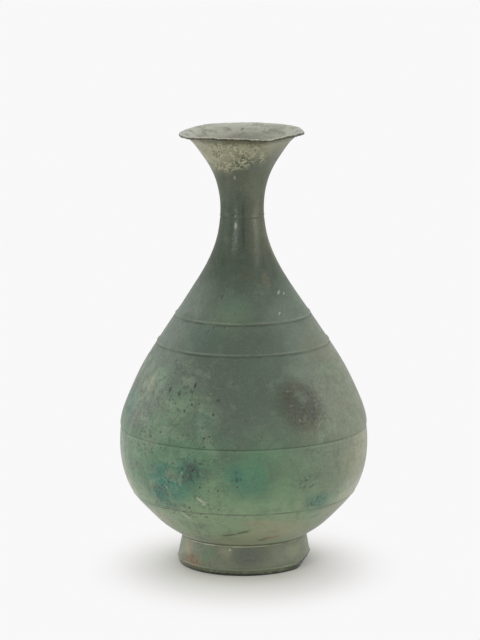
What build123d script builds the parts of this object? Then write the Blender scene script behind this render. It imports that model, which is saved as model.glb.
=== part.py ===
"""Bronze hu vessel: a pear-shaped bottle of two thin shells and a foot ring, soldered together.

Units are millimetres and +Z is up. The origin is the centre of the foot's resting face and the front of the
bottle faces -Y. Each piece is exported as one STEP file under parts/.
"""
import os
from math import cos, exp, radians, sin

from build123d import *

# Foot ring, measured up from the resting face
FOOT_HEIGHT = 22.2
FOOT_TOP_RADIUS = 45.9
FOOT_WAIST_RADIUS = 47.4
FOOT_WAIST_HEIGHT = 13.0
FOOT_LINE_RADIUS = 49.4
FOOT_LINE_HEIGHT = 4.6
FOOT_BOTTOM_RADIUS = 48.2
FOOT_WALL = 2.4
# Where the foot's edge is bent: azimuth from +X, half angle, and how far each level went inward and up
BEND_AZIMUTH = -6.0
BEND_HALF_ANGLE = 36.0
BEND_BOTTOM_DEPTH = 3.0
BEND_BOTTOM_LIFT = 4.5
BEND_LINE_DEPTH = 1.0
BEND_LINE_LIFT = 3.0
BEND_WAIST_DEPTH = 0.3
FOOT_TRIM = 0.3

# Bowl, radii of the outside at heights above the foot joint; an inset is counted in from the belly radius
BOWL_WALL = 1.6
BOWL_SEAT_MARGIN = 0.6
BOWL_FLANK_RADIUS = 58.0
BOWL_FLANK_HEIGHT = 7.8
BOWL_HIP_RADIUS = 72.8
BOWL_HIP_HEIGHT = 21.9
LOWER_LINE_RADIUS = 80.1
LOWER_LINE_HEIGHT = 30.3
BOWL_SIDE_INSET = 3.85
BOWL_SIDE_HEIGHT = 43.5
BELLY_RADIUS = 90.75
BELLY_HEIGHT = 65.5
SEAM_INSET = 0.75
BOWL_HEIGHT = 81.0

# Lap at the belly seam and solder in both joints
LAP_HEIGHT = 6.0
LAP_WALL = 1.3
JOGGLE_HEIGHT = 6.0
SOLDER_FILM = 0.3
SOLDER_RECESS = 0.7
FOOT_CORNER_FILLET = 1.7

# Upper shell, radii of the outside at heights above the belly seam
SHELL_WALL = 1.6
KNUCKLE_PROUD = 0.4
KNUCKLE_HEIGHT = 2.6
KNUCKLE_ROUND = 1.0
SHOULDER_START_INSET = 6.3
SHOULDER_START_HEIGHT = 21.4
SHOULDER_INSET = 16.0
SHOULDER_HEIGHT = 42.4
LOW_THREAD_RADIUS = 62.4
LOW_THREAD_HEIGHT = 62.6
HIGH_THREAD_RADIUS = 48.9
HIGH_THREAD_HEIGHT = 82.9
NECK_ROOT_RADIUS = 35.6
NECK_ROOT_HEIGHT = 103.0
NECK_LOW_RADIUS = 23.4
NECK_LOW_HEIGHT = 124.6
NECK_RADIUS = 15.85
NECK_HEIGHT = 160.0
NECK_THREAD_HEIGHT = 154.8
FLARE_RADIUS = 20.2
FLARE_HEIGHT = 184.0
FUNNEL_RADIUS = 32.1
FUNNEL_HEIGHT = 204.4
LIP_TURN_RADIUS = 41.0
LIP_TURN_HEIGHT = 213.6
LIP_RADIUS = 45.4
MOUTH_HEIGHT = 216.6

# Raised threads: how far they stand out, their half width and how deep they root in the wall
THREAD_RISE = 0.6
THREAD_HALF_WIDTH = 0.9
NECK_THREAD_RISE = 0.3
LOWER_LINE_RISE = 0.4
THREAD_ROOT = 0.5

# Warp of the lip: a wide droop at the left, a short hook at the right and a sag at the front. Each is a drop
# from a flat rim, with its azimuth from +X and its half angle
LIP_DROOP = 1.7
LIP_DROOP_AZIMUTH = 180.0
LIP_DROOP_HALF_ANGLE = 45.0
LIP_HOOK = 1.3
LIP_HOOK_AZIMUTH = 0.0
LIP_HOOK_HALF_ANGLE = 15.0
LIP_SAG = 1.5
LIP_SAG_AZIMUTH = 292.0
LIP_SAG_HALF_ANGLE = 17.0

# How finely the warped rings and the mouth are drawn
RING_POINTS = 40
MOUTH_RINGS = 7

# Sizes that follow from those above
BOWL_SEAT_RADIUS = FOOT_TOP_RADIUS + BOWL_SEAT_MARGIN
SEAM_RADIUS = BELLY_RADIUS - SEAM_INSET
KNUCKLE_RADIUS = SEAM_RADIUS + KNUCKLE_PROUD
SEAM_Z = FOOT_HEIGHT + BOWL_HEIGHT
LAP_TOP_Z = SEAM_Z + LAP_HEIGHT


def side_point(radius, height):
    """A point of a profile in the XZ plane."""
    return Vector(radius, 0, height)


def at_height(curve, height):
    """Where on a rising profile curve, from 0 to 1, it passes a height."""
    low = 0.0
    high = 1.0
    for _ in range(50):
        middle = (low + high) / 2
        if curve.position_at(middle).Z < height:
            low = middle
        else:
            high = middle
    return (low + high) / 2


def inside_point(curve, place, distance):
    """The point a set distance to the inner side of a rising profile curve."""
    tangent = curve.tangent_at(place)
    return curve.position_at(place) + Vector(-tangent.Z, 0, tangent.X) * distance


def inside_curve(curve, distance, start, end, count):
    """A spline that runs a set distance inside a rising profile curve, from one place on it to another."""
    places = [start + (end - start) * step / (count - 1) for step in range(count)]
    points = [inside_point(curve, place, distance) for place in places]
    return Spline(*points, tangents=[curve.tangent_at(start), curve.tangent_at(end)])


def turned(*edges):
    """A solid of revolution about Z from the edges of a closed profile."""
    return Solid.revolve(Face(Wire(list(edges))), 360, Axis.Z)


def thread_ring(curve, height, rise):
    """A raised thread round a wall: a lens section that roots in the wall and stands out of it."""
    place = at_height(curve, height)
    tangent = curve.tangent_at(place)
    outward = Vector(tangent.Z, 0, -tangent.X)
    centre = curve.position_at(place)
    below = centre - tangent * THREAD_HALF_WIDTH - outward * THREAD_ROOT
    above = centre + tangent * THREAD_HALF_WIDTH - outward * THREAD_ROOT
    return turned(ThreePointArc(below, centre + outward * rise, above), Line(above, below))


def closed_ring(ring_point):
    """A closed smooth wire round Z through ring_point(angle in degrees), with its knots at even angles."""
    points = [ring_point(360 * step / RING_POINTS) for step in range(RING_POINTS)]
    knots = [step / RING_POINTS for step in range(RING_POINTS + 1)]
    return Wire([Edge.make_spline(points, periodic=True, parameters=knots)])


def flat_circle(point):
    """The exact circle that a profile point makes about Z."""
    return Wire([Edge.make_circle(point.X, Plane((0, 0, point.Z)))])


def angle_between(angle, other):
    """How far two azimuths are apart, from -180 to 180 degrees."""
    return (angle - other + 180) % 360 - 180


def around(radius, angle, height):
    """A point from its radius, azimuth and height."""
    return (radius * cos(radians(angle)), radius * sin(radians(angle)), height)


def lip_drop(angle):
    """How far the lip hangs below its highest points at an azimuth."""
    from_left = angle_between(angle, LIP_DROOP_AZIMUTH) / LIP_DROOP_HALF_ANGLE
    from_right = angle_between(angle, LIP_HOOK_AZIMUTH) / LIP_HOOK_HALF_ANGLE
    from_front = angle_between(angle, LIP_SAG_AZIMUTH) / LIP_SAG_HALF_ANGLE
    drop = LIP_DROOP * exp(-from_left ** 4)
    drop += LIP_HOOK * exp(-from_right ** 2)
    return drop + LIP_SAG * exp(-from_front ** 2)


def warped_ring(point, share):
    """The ring of a mouth profile point, dropped by its share of the lip's warp."""
    return closed_ring(lambda angle: around(point.X, angle, point.Z - share * lip_drop(angle)))


def bent_ring(radius, height, depth, lift):
    """A level ring of the foot, pushed inward and up where the foot's edge is bent."""
    def ring_point(angle):
        away = min(abs(angle_between(angle, BEND_AZIMUTH)) / BEND_HALF_ANGLE, 1)
        share = cos(radians(90 * away)) ** 2
        return around(radius - depth * share, angle, height + lift * share)
    return closed_ring(ring_point)


def shell_outside():
    """The outer profile of the upper shell, from the knuckle at the seam up to the lip's underside."""
    lip_edge = side_point(LIP_RADIUS - SHELL_WALL / 2, SEAM_Z + MOUTH_HEIGHT - SHELL_WALL)
    return Spline(
        side_point(KNUCKLE_RADIUS, SEAM_Z + KNUCKLE_HEIGHT),
        side_point(BELLY_RADIUS - SHOULDER_START_INSET, SEAM_Z + SHOULDER_START_HEIGHT),
        side_point(BELLY_RADIUS - SHOULDER_INSET, SEAM_Z + SHOULDER_HEIGHT),
        side_point(LOW_THREAD_RADIUS, SEAM_Z + LOW_THREAD_HEIGHT),
        side_point(HIGH_THREAD_RADIUS, SEAM_Z + HIGH_THREAD_HEIGHT),
        side_point(NECK_ROOT_RADIUS, SEAM_Z + NECK_ROOT_HEIGHT),
        side_point(NECK_LOW_RADIUS, SEAM_Z + NECK_LOW_HEIGHT),
        side_point(NECK_RADIUS, SEAM_Z + NECK_HEIGHT),
        side_point(FLARE_RADIUS, SEAM_Z + FLARE_HEIGHT),
        side_point(FUNNEL_RADIUS, SEAM_Z + FUNNEL_HEIGHT),
        side_point(LIP_TURN_RADIUS, SEAM_Z + LIP_TURN_HEIGHT),
        lip_edge,
        tangents=[(-0.12, 0, 1), (1, 0, 0.12)],
    )


def bowl_outside():
    """The outer profile of the bowl, from the edge of its flat seat up to the belly seam."""
    return Spline(
        side_point(BOWL_SEAT_RADIUS, FOOT_HEIGHT),
        side_point(BOWL_FLANK_RADIUS, FOOT_HEIGHT + BOWL_FLANK_HEIGHT),
        side_point(BOWL_HIP_RADIUS, FOOT_HEIGHT + BOWL_HIP_HEIGHT),
        side_point(LOWER_LINE_RADIUS, FOOT_HEIGHT + LOWER_LINE_HEIGHT),
        side_point(BELLY_RADIUS - BOWL_SIDE_INSET, FOOT_HEIGHT + BOWL_SIDE_HEIGHT),
        side_point(BELLY_RADIUS, FOOT_HEIGHT + BELLY_HEIGHT),
        side_point(SEAM_RADIUS, SEAM_Z),
        tangents=[(1, 0, 0.67), (-0.12, 0, 1)],
    )


def shell_inside(outside):
    """The inner profile of the upper shell's turned wall, from the knuckle up to the neck."""
    return inside_curve(outside, SHELL_WALL, 0, at_height(outside, SEAM_Z + NECK_HEIGHT), 24)


def make_upper_shell(outside, inner_wall):
    """Lip, mouth, neck and shoulder: a turned wall sewn to a warped mouth, with three raised threads."""
    join = at_height(outside, SEAM_Z + NECK_HEIGHT)
    outer_join = outside.position_at(join)
    inner_join = inner_wall @ 1

    # Turned wall below the join, as an open profile from the outer join down and back up to the inner join
    knuckle = outside.position_at(0)
    inner_edge = side_point(KNUCKLE_RADIUS - SHELL_WALL, SEAM_Z)
    outer_edge = side_point(KNUCKLE_RADIUS - KNUCKLE_ROUND, SEAM_Z)
    profile = Wire([
        outside.trim(0, join),
        TangentArc(knuckle, outer_edge, tangent=-outside.tangent_at(0)),
        Line(outer_edge, inner_edge),
        Line(inner_edge, inner_wall @ 0),
        inner_wall,
    ])
    faces = list(Shell.revolve(profile, 360, Axis.Z).faces())

    # Warped mouth above the join: outer flare, rounded lip and inner funnel
    outer_rings = [flat_circle(outer_join)]
    inner_rings = [flat_circle(inner_join)]
    for step in range(1, MOUTH_RINGS + 1):
        share = step / MOUTH_RINGS
        place = join + (1 - join) * share
        drop_share = share ** 3
        outer_rings.append(warped_ring(outside.position_at(place), drop_share))
        inner_rings.append(warped_ring(inside_point(outside, place, SHELL_WALL), drop_share))
    lip_middle = side_point(LIP_RADIUS, outside.position_at(1).Z + SHELL_WALL / 2)
    lip_rings = [outer_rings[-1], warped_ring(lip_middle, 1), inner_rings[-1]]
    for rings in (outer_rings, lip_rings, inner_rings):
        faces += Shell.make_loft(rings).faces()

    shell = Solid(Shell(faces))
    shell += thread_ring(outside, SEAM_Z + LOW_THREAD_HEIGHT, THREAD_RISE)
    shell += thread_ring(outside, SEAM_Z + HIGH_THREAD_HEIGHT, THREAD_RISE)
    shell += thread_ring(outside, SEAM_Z + NECK_THREAD_HEIGHT, NECK_THREAD_RISE)
    return shell


def upstand_side(shell_curve, depth):
    """One face of the bowl's upstand, a set depth inside the upper shell's outside, from the bottom up."""
    return inside_curve(shell_curve, depth, 0, at_height(shell_curve, LAP_TOP_Z), 5)


def make_bowl(outside, shell_curve):
    """Belly and flat bottom, with a lower line and an upstand that stands inside the upper shell."""
    lap_depth = SHELL_WALL + SOLDER_FILM
    step_z = SEAM_Z - SOLDER_FILM
    upstand_outer = upstand_side(shell_curve, lap_depth)
    upstand_inner = upstand_side(shell_curve, lap_depth + LAP_WALL)
    outer_foot = side_point(KNUCKLE_RADIUS - lap_depth, step_z)
    inner_foot = side_point(KNUCKLE_RADIUS - lap_depth - LAP_WALL, step_z)
    outer_top = at_height(outside, step_z)
    step_point = outside.position_at(outer_top)
    floor_top = FOOT_HEIGHT + BOWL_WALL
    inner_side = inside_curve(outside, BOWL_WALL, 0, at_height(outside, SEAM_Z - JOGGLE_HEIGHT), 24)
    inner_wall = inner_side.trim(at_height(inner_side, floor_top), 1)
    bowl = turned(
        Line(side_point(0, FOOT_HEIGHT), outside @ 0),
        outside.trim(0, outer_top),
        Line(step_point, outer_foot),
        Line(outer_foot, upstand_outer @ 0),
        upstand_outer,
        Line(upstand_outer @ 1, upstand_inner @ 1),
        upstand_inner,
        Line(upstand_inner @ 0, inner_foot),
        Line(inner_foot, inner_wall @ 1),
        inner_wall,
        Line(inner_wall @ 0, side_point(0, floor_top)),
        Line(side_point(0, floor_top), side_point(0, FOOT_HEIGHT)),
    )
    return bowl + thread_ring(outside, FOOT_HEIGHT + LOWER_LINE_HEIGHT, LOWER_LINE_RISE)


def make_foot_ring():
    """Flared foot, circular at its top and bent in and up at the right of its bottom edge."""
    def rings(inset):
        top = flat_circle(side_point(FOOT_TOP_RADIUS - inset, FOOT_HEIGHT - SOLDER_FILM))
        waist = bent_ring(FOOT_WAIST_RADIUS - inset, FOOT_WAIST_HEIGHT, BEND_WAIST_DEPTH, 0)
        line = bent_ring(FOOT_LINE_RADIUS - inset, FOOT_LINE_HEIGHT, BEND_LINE_DEPTH, BEND_LINE_LIFT)
        lift = BEND_BOTTOM_LIFT + FOOT_TRIM
        bottom = bent_ring(FOOT_BOTTOM_RADIUS - inset, -FOOT_TRIM, BEND_BOTTOM_DEPTH, lift)
        return top, waist, line, bottom

    outer = rings(0)
    inner = rings(FOOT_WALL)
    faces = [Face(outer[0], [inner[0]])]
    faces += Shell.make_loft([outer[3], inner[3]]).faces()
    for top, waist, line, bottom in (outer, inner):
        faces += Shell.make_loft([top, waist, line]).faces()
        faces += Shell.make_loft([line, bottom]).faces()
    foot = Solid(Shell(faces))

    # The edge stands a little low until it is trimmed flat, which leaves only the bent stretch off the ground
    return foot - Pos(0, 0, -FOOT_TRIM) * Cylinder(FOOT_LINE_RADIUS * 2, FOOT_TRIM * 2)


def make_foot_solder(bowl, foot_ring):
    """Solder washer on the foot's top, with a fillet in the outer corner against the bowl."""
    inner = FOOT_TOP_RADIUS - FOOT_WALL
    low = side_point(FOOT_TOP_RADIUS - SOLDER_FILM, FOOT_HEIGHT - SOLDER_FILM - FOOT_CORNER_FILLET)
    high = side_point(BOWL_SEAT_RADIUS + FOOT_CORNER_FILLET, FOOT_HEIGHT + FOOT_CORNER_FILLET)
    inner_low = side_point(inner, FOOT_HEIGHT - SOLDER_FILM)
    inner_high = side_point(inner, FOOT_HEIGHT)
    under = side_point(FOOT_TOP_RADIUS - SOLDER_FILM, FOOT_HEIGHT - SOLDER_FILM)
    over = side_point(BOWL_SEAT_RADIUS, FOOT_HEIGHT)
    hollow = side_point(BOWL_SEAT_RADIUS + FOOT_CORNER_FILLET * 0.25, FOOT_HEIGHT - SOLDER_FILM)
    blank = turned(
        Line(inner_low, under),
        Line(under, low),
        ThreePointArc(low, hollow, high),
        Line(high, over),
        Line(over, inner_high),
        Line(inner_high, inner_low),
    )
    return blank - bowl - foot_ring


def make_belly_solder(shell_curve, inner_wall):
    """Solder film in the lap: up between the upstand and the upper shell, and out under the shell's edge."""
    step_z = SEAM_Z - SOLDER_FILM
    upstand_outer = upstand_side(shell_curve, SHELL_WALL + SOLDER_FILM)
    lap_inner = inner_wall.trim(0, at_height(inner_wall, (upstand_outer @ 1).Z))
    upstand_foot = side_point(KNUCKLE_RADIUS - SHELL_WALL - SOLDER_FILM, step_z)
    shell_edge = side_point(KNUCKLE_RADIUS - SHELL_WALL, SEAM_Z)
    outer_top = side_point(SEAM_RADIUS - SOLDER_RECESS, SEAM_Z)
    outer_bottom = side_point(SEAM_RADIUS - SOLDER_RECESS, step_z)
    return turned(
        Line(upstand_foot, upstand_outer @ 0),
        upstand_outer,
        Line(upstand_outer @ 1, lap_inner @ 1),
        lap_inner,
        Line(lap_inner @ 0, shell_edge),
        Line(shell_edge, outer_top),
        Line(outer_top, outer_bottom),
        Line(outer_bottom, upstand_foot),
    )


def main():
    """Builds every piece and writes its STEP file."""
    shell_curve = shell_outside()
    inner_wall = shell_inside(shell_curve)
    bowl = make_bowl(bowl_outside(), shell_curve)
    foot_ring = make_foot_ring()
    pieces = {
        "upper_shell": make_upper_shell(shell_curve, inner_wall),
        "bowl": bowl,
        "belly_solder": make_belly_solder(shell_curve, inner_wall),
        "foot_ring": foot_ring,
        "foot_solder": make_foot_solder(bowl, foot_ring),
    }
    os.makedirs("parts", exist_ok=True)
    for name, piece in pieces.items():
        solids = piece.solids()
        print(name, len(solids), [solid.is_valid for solid in solids], round(piece.volume, 1))
        export_step(piece, f"parts/{name}.step")


if __name__ == "__main__":
    main()
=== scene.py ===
"""The bronze hu vessel as it looks today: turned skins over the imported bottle, old patina and a studio.

Sizes are in millimetres, apart from the zones of the patina and the floor, which are in Blender's metres.
The bottle stands on z = 0 with its front to -Y.
"""
import logging
import math
from dataclasses import dataclass, field
from enum import Enum
from functools import reduce
from itertools import product

import bpy
import numpy as np
from mathutils import Matrix, Vector


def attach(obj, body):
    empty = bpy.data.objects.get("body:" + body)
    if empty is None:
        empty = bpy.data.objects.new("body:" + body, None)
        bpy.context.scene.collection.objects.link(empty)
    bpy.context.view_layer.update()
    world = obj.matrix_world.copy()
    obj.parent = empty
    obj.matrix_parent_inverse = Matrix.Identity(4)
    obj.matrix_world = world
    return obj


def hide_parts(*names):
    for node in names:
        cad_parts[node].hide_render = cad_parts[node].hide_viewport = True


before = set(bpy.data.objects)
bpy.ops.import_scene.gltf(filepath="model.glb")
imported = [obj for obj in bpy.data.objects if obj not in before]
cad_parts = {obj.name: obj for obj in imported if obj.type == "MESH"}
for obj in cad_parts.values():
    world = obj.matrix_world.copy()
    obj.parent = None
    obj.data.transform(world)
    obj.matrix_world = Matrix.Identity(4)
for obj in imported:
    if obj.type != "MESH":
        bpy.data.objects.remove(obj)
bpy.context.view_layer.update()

LOG = logging.getLogger("hu_vessel")
MM = 0.001
WALL = 1.6
FOOT_LINE = 4.6
FOOT_Z = 22.2
LOWER_LINE = 54.7
SEAM_Z = 103.2
SHOULDER_THREADS = (165.8, 186.1)
NECK_THREAD = 258.0
STATION_STEP = 1.5
SEARCH_STEPS = 2000

# A span is a start and an end or a radius and a height; a line is a height, a half width and a share
Colour = tuple[float, float, float, float]
Place = tuple[float, float, float]
Span = tuple[float, float]
Line = tuple[float, float, float]
Socket = bpy.types.NodeSocket


class Push(Enum):
    """The direction in which a displace modifier moves the points of a piece."""

    ACROSS = "X"
    ALONG = "Y"
    UP = "Z"
    OUTWARD = "NORMAL"


class Bloom(Enum):
    """What a single mark on the skin is: each has its own colour in the patina, laid in this order; some
    marks are painted light or shade.
    """

    SHADE = "shade"
    MOSS = "moss"
    LEAF = "leaf"
    MALACHITE = "malachite"
    BEIGE = "beige"
    TAN = "tan"
    OLIVE = "olive"
    SLATE = "slate"
    TEAL = "teal"
    BROWN = "brown"
    RUST = "rust"
    PALE = "pale"
    # Dark marks: real soot, and some painted shade and dark reflection edges on the neck.
    SOOT = "soot"


class Edge(Enum):
    """How a mark ends: a wash drifts, a cloud is soft, a stain ragged, a speck clear and pepper dotted.

    Its numbers are the grain and the reach of the pattern that moves the edge about, in millimetres, and
    the part of the mark over which it eases off.
    """

    WASH = (26, 26, 0.9)
    CLOUD = (13, 11, 0.8)
    STAIN = (6, 8, 0.75)
    SPECK = (2, 1.6, 0.5)
    PEPPER = (5, 6, 0.6)

    @property
    def sway(self) -> Span:
        """The grain and the reach of the pattern that moves the edge about."""
        return self.value[:2]

    @property
    def soft(self) -> float:
        """The part of the mark over which it eases off."""
        return self.value[2]


@dataclass
class SideLine:
    """A smooth side profile through points of radius and height, with a set direction at each end.

    Attributes:
        points: the radius and height of each point that the line passes, from the bottom up.
        start: the line's direction at its first point.
        end: the line's direction at its last point.
    """

    points: list[tuple[float, float]]
    start: tuple[float, float]
    end: tuple[float, float]
    knots: np.ndarray = field(init=False)
    slopes: np.ndarray = field(init=False)

    def __post_init__(self) -> None:
        """Finds the slope at every point with which the line bends evenly through it."""
        spots = np.array(self.points)
        steps = np.linalg.norm(np.diff(spots, axis=0), axis=1)
        self.knots = np.concatenate([[0.0], np.cumsum(steps)])
        system = np.eye(len(spots))
        sides = np.zeros((len(spots), 2))
        sides[0] = np.array(self.start) / np.linalg.norm(self.start)
        sides[-1] = np.array(self.end) / np.linalg.norm(self.end)
        for row in range(1, len(spots) - 1):
            before = steps[row - 1]
            after = steps[row]
            system[row, row - 1:row + 2] = (after, 2 * (before + after), before)
            rise_before = (spots[row] - spots[row - 1]) * after / before
            rise_after = (spots[row + 1] - spots[row]) * before / after
            sides[row] = 3 * (rise_before + rise_after)
        self.slopes = np.linalg.solve(system, sides)

    @property
    def length(self) -> float:
        """How far along the line its last point is."""
        return float(self.knots[-1])

    def along(self, places: np.ndarray) -> tuple[np.ndarray, np.ndarray]:
        """Reads the line at distances along it.

        Args:
            places: distances from the first point.

        Returns:
            The points as radius and height, and the line's directions there.
        """
        spots = np.array(self.points)
        row = np.clip(np.searchsorted(self.knots, places, side="right") - 1, 0, len(spots) - 2)
        span = (self.knots[row + 1] - self.knots[row])[:, None]
        part = (places - self.knots[row])[:, None] / span
        square = part**2
        cube = part**3
        start, end = spots[row], spots[row + 1]
        leave, arrive = self.slopes[row], self.slopes[row + 1]
        point = (2 * cube - 3 * square + 1) * start + (3 * square - 2 * cube) * end
        point += span * ((cube - 2 * square + part) * leave + (cube - square) * arrive)
        slope = 6 * (square - part) * (start - end) / span
        slope += (3 * square - 4 * part + 1) * leave + (3 * square - 2 * part) * arrive
        return point, slope / np.linalg.norm(slope, axis=1)[:, None]

    def place_at(self, height: float) -> float:
        """How far along the line it passes a height."""
        places = np.linspace(0, self.length, SEARCH_STEPS)
        return float(np.interp(height, self.along(places)[0][:, 1], places))

    def radius_at(self, height: float) -> float:
        """The line's radius at a height."""
        return float(self.along(np.array([self.place_at(height)]))[0][0, 0])

    def wall(self, places: np.ndarray, depth: np.ndarray | float) -> np.ndarray:
        """Finds points a set depth inside the line, square to it.

        Args:
            places: distances from the first point.
            depth: the depth, for each point or for all; below zero it stands out of the line.

        Returns:
            The radius and height of each point.
        """
        points, directions = self.along(places)
        inward = np.stack([-directions[:, 1], directions[:, 0]], axis=1)
        return points + inward * np.broadcast_to(depth, len(places))[:, None]


@dataclass(frozen=True)
class Thread:
    """A fine raised thread round the wall, with a scored line under it.

    Attributes:
        height: the height of its crest above the ground.
        rise: how far the crest stands out of the wall.
        half_width: half of its width along the wall.
        score: how deep the line under it is cut.
    """

    height: float
    rise: float
    half_width: float = 0.8
    score: float = 0.25

    FULLNESS = 0.8
    SCORE_DROP = 1.75
    SCORE_WIDTH = 0.7
    REACH = (-2.6, 1.6)
    STATIONS = 25
    CLEAR_MIDDLE = 0.4
    CLEAR_REACH = 2.8

    def relief(self, distance: np.ndarray) -> np.ndarray:
        """Finds how far the wall stands out.

        Args:
            distance: distances along the wall from the crest.

        Returns:
            The height of the wall there over the plain wall.
        """
        crest = self.rise * np.clip(1 - (distance / self.half_width) ** 2, 0, None) ** self.FULLNESS
        groove = (distance + self.SCORE_DROP * self.half_width) / (self.SCORE_WIDTH * self.half_width)
        return crest - self.score * np.exp(-groove * groove)


def threaded(line: SideLine, threads: list[Thread], high: float) -> np.ndarray:
    """Draws the outer side of a wall, with its points closer together at its threads.

    Args:
        line: the side line.
        threads: the threads on it.
        high: how far along the line the wall ends.

    Returns:
        The radius and height of each point, from the start of the line.
    """
    places = np.linspace(0, high, int(round(high / STATION_STEP)) + 1)
    near = [line.place_at(thread.height) for thread in threads]
    for centre in near:
        places = places[np.abs(places - centre - Thread.CLEAR_MIDDLE) > Thread.CLEAR_REACH]
    fine = [centre + np.linspace(*Thread.REACH, Thread.STATIONS) for centre in near]
    places = np.sort(np.concatenate([places, *fine]))
    relief = sum(thread.relief(places - centre) for thread, centre in zip(threads, near))
    return line.wall(places, -relief)


def arc(centre: np.ndarray, start: np.ndarray, sweep: float, count: int) -> np.ndarray:
    """Draws an arc in the side view, without its two ends.

    Args:
        centre: its centre.
        start: where it starts.
        sweep: how far it turns, in degrees.
        count: the number of points.

    Returns:
        The radius and height of each point.
    """
    arm = start - centre
    turns = np.radians(np.linspace(0, sweep, count + 2)[1:-1])
    across = arm[0] * np.cos(turns) - arm[1] * np.sin(turns)
    up = arm[0] * np.sin(turns) + arm[1] * np.cos(turns)
    return centre + np.stack([across, up], axis=1)


def level_points(radii: np.ndarray, height: float) -> np.ndarray:
    """Points of an outline at several radii and one height."""
    return np.stack([radii, np.full(len(radii), height)], axis=1)


def points_of(piece: bpy.types.Object) -> np.ndarray:
    """Reads the points of a piece.

    Args:
        piece: the piece.

    Returns:
        The points in millimetres, one row each.
    """
    flat = np.zeros(len(piece.data.vertices) * 3)
    piece.data.vertices.foreach_get("co", flat)
    return flat.reshape(-1, 3) / MM


def azimuth_from(points: np.ndarray, centre: float) -> np.ndarray:
    """How far round the axis points are from an azimuth, from -180 to 180 degrees."""
    around = np.degrees(np.arctan2(points[:, 1], points[:, 0]))
    return (around - centre + 180) % 360 - 180


def eased(values: np.ndarray, start: float, reach: float) -> np.ndarray:
    """Rises evenly from 0 at a start to 1 at a reach past it."""
    return np.clip((values - start) / reach, 0, 1)


@dataclass(frozen=True)
class Wear:
    """How uneven a wall has become.

    Attributes:
        grain: the size of its hollows in millimetres.
        depth: how far the highest and lowest points are apart, in millimetres.
        level: the part of the depth that counts as the plain surface; 1 makes hollows alone.
    """

    grain: float
    depth: float
    level: float


class Lathe:
    """Turns outlines about the bottle's axis and works the turned walls, as a metal spinner does."""

    STEPS = 288
    WELD = 0.01 * MM
    GRAIN_LAYERS = 2
    LEAST_SHARE = 0.001

    @classmethod
    def turn(cls, name: str, outline: np.ndarray) -> bpy.types.Object:
        """Draws a closed outline point by point and spins it about the axis.

        Args:
            name: the name of the new piece.
            outline: radius and height of each point in millimetres; the last joins the first.

        Returns:
            The turned piece, at the origin, with its normals outwards. Its "level" attribute keeps the
            height of each point as turned, so that a line on the wall stays on it when the wall is bent.
        """
        bpy.ops.object.select_all(action="DESELECT")
        route = np.concatenate([outline, outline[:1]])
        first = (route[0, 0] * MM, 0.0, route[0, 1] * MM)
        bpy.ops.mesh.primitive_plane_add(size=MM, location=first)
        piece = bpy.context.active_object
        piece.name = name
        piece.data.name = name
        bpy.ops.object.mode_set(mode="EDIT")
        bpy.ops.mesh.select_all(action="SELECT")
        bpy.ops.mesh.merge(type="CENTER")
        for step in np.diff(route, axis=0) * MM:
            move = {"value": (float(step[0]), 0.0, float(step[1]))}
            bpy.ops.mesh.extrude_vertices_move(TRANSFORM_OT_translate=move)
        bpy.ops.mesh.select_all(action="SELECT")
        bpy.ops.mesh.remove_doubles(threshold=cls.WELD)
        bpy.ops.mesh.select_all(action="SELECT")
        bpy.ops.mesh.spin(steps=cls.STEPS, angle=math.tau, center=(0, 0, 0), axis=(0, 0, 1))
        bpy.ops.mesh.select_all(action="SELECT")
        bpy.ops.mesh.remove_doubles(threshold=cls.WELD)
        bpy.ops.mesh.normals_make_consistent(inside=False)
        bpy.ops.object.mode_set(mode="OBJECT")
        bpy.ops.object.transform_apply(location=True, rotation=True, scale=True)
        bpy.ops.object.shade_smooth()
        level = piece.data.attributes.new("level", "FLOAT", "POINT")
        level.data.foreach_set("value", points_of(piece)[:, 2] * MM)
        return piece

    @classmethod
    def push(cls, piece: bpy.types.Object, share: np.ndarray, way: Push, distance: float) -> None:
        """Moves the points of a piece one way, each by its own share of a distance in millimetres."""
        cls._displace(piece, share, way, 0.0, distance)

    @classmethod
    def roughen(cls, piece: bpy.types.Object, share: np.ndarray, wear: Wear,
                way: Push = Push.OUTWARD) -> None:
        """Makes a wall uneven with cloudy hollows or bumps.

        Args:
            piece: the piece.
            share: how much of the effect each point takes, from 0 to 1.
            wear: the size and the depth of the hollows.
            way: the direction of the bumps.
        """
        texture = bpy.data.textures.new(f"{piece.name}_grain_{wear.grain:g}", "CLOUDS")
        texture.noise_scale = wear.grain * MM
        texture.noise_depth = cls.GRAIN_LAYERS
        cls._displace(piece, share, way, wear.level, wear.depth, texture)

    @classmethod
    def _displace(cls, piece: bpy.types.Object, share: np.ndarray, way: Push, level: float, distance: float,
                  texture: bpy.types.Texture | None = None) -> None:
        """Moves the points of a piece with a displace modifier.

        Args:
            piece: the piece.
            share: the share of each point, from 0 to 1.
            way: the direction.
            level: the value that leaves a point where it is.
            distance: how far a value of one moves a point, in millimetres.
            texture: the pattern of the values; without one they are all one.
        """
        bpy.ops.object.select_all(action="DESELECT")
        piece.select_set(True)
        bpy.context.view_layer.objects.active = piece
        group = piece.vertex_groups.new(name="share")
        for index in np.flatnonzero(share > cls.LEAST_SHARE):
            group.add([int(index)], float(share[index]), "REPLACE")
        bpy.ops.object.modifier_add(type="DISPLACE")
        modifier = piece.modifiers[-1]
        modifier.vertex_group = group.name
        modifier.direction = way.value
        modifier.mid_level = level
        modifier.strength = distance * MM
        if texture is not None:
            modifier.texture = texture
            modifier.texture_coords = "LOCAL"
        bpy.ops.object.modifier_apply(modifier=modifier.name)
        piece.vertex_groups.clear()


def light(value: int) -> float:
    """The amount of light that a screen value of 0 to 255 stands for."""
    share = value / 255
    return share / 12.92 if share <= 0.04045 else ((share + 0.055) / 1.055) ** 2.4


def paint(red: int, green: int, blue: int) -> Colour:
    """A colour from its screen values of 0 to 255."""
    return light(red), light(green), light(blue), 1.0


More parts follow.
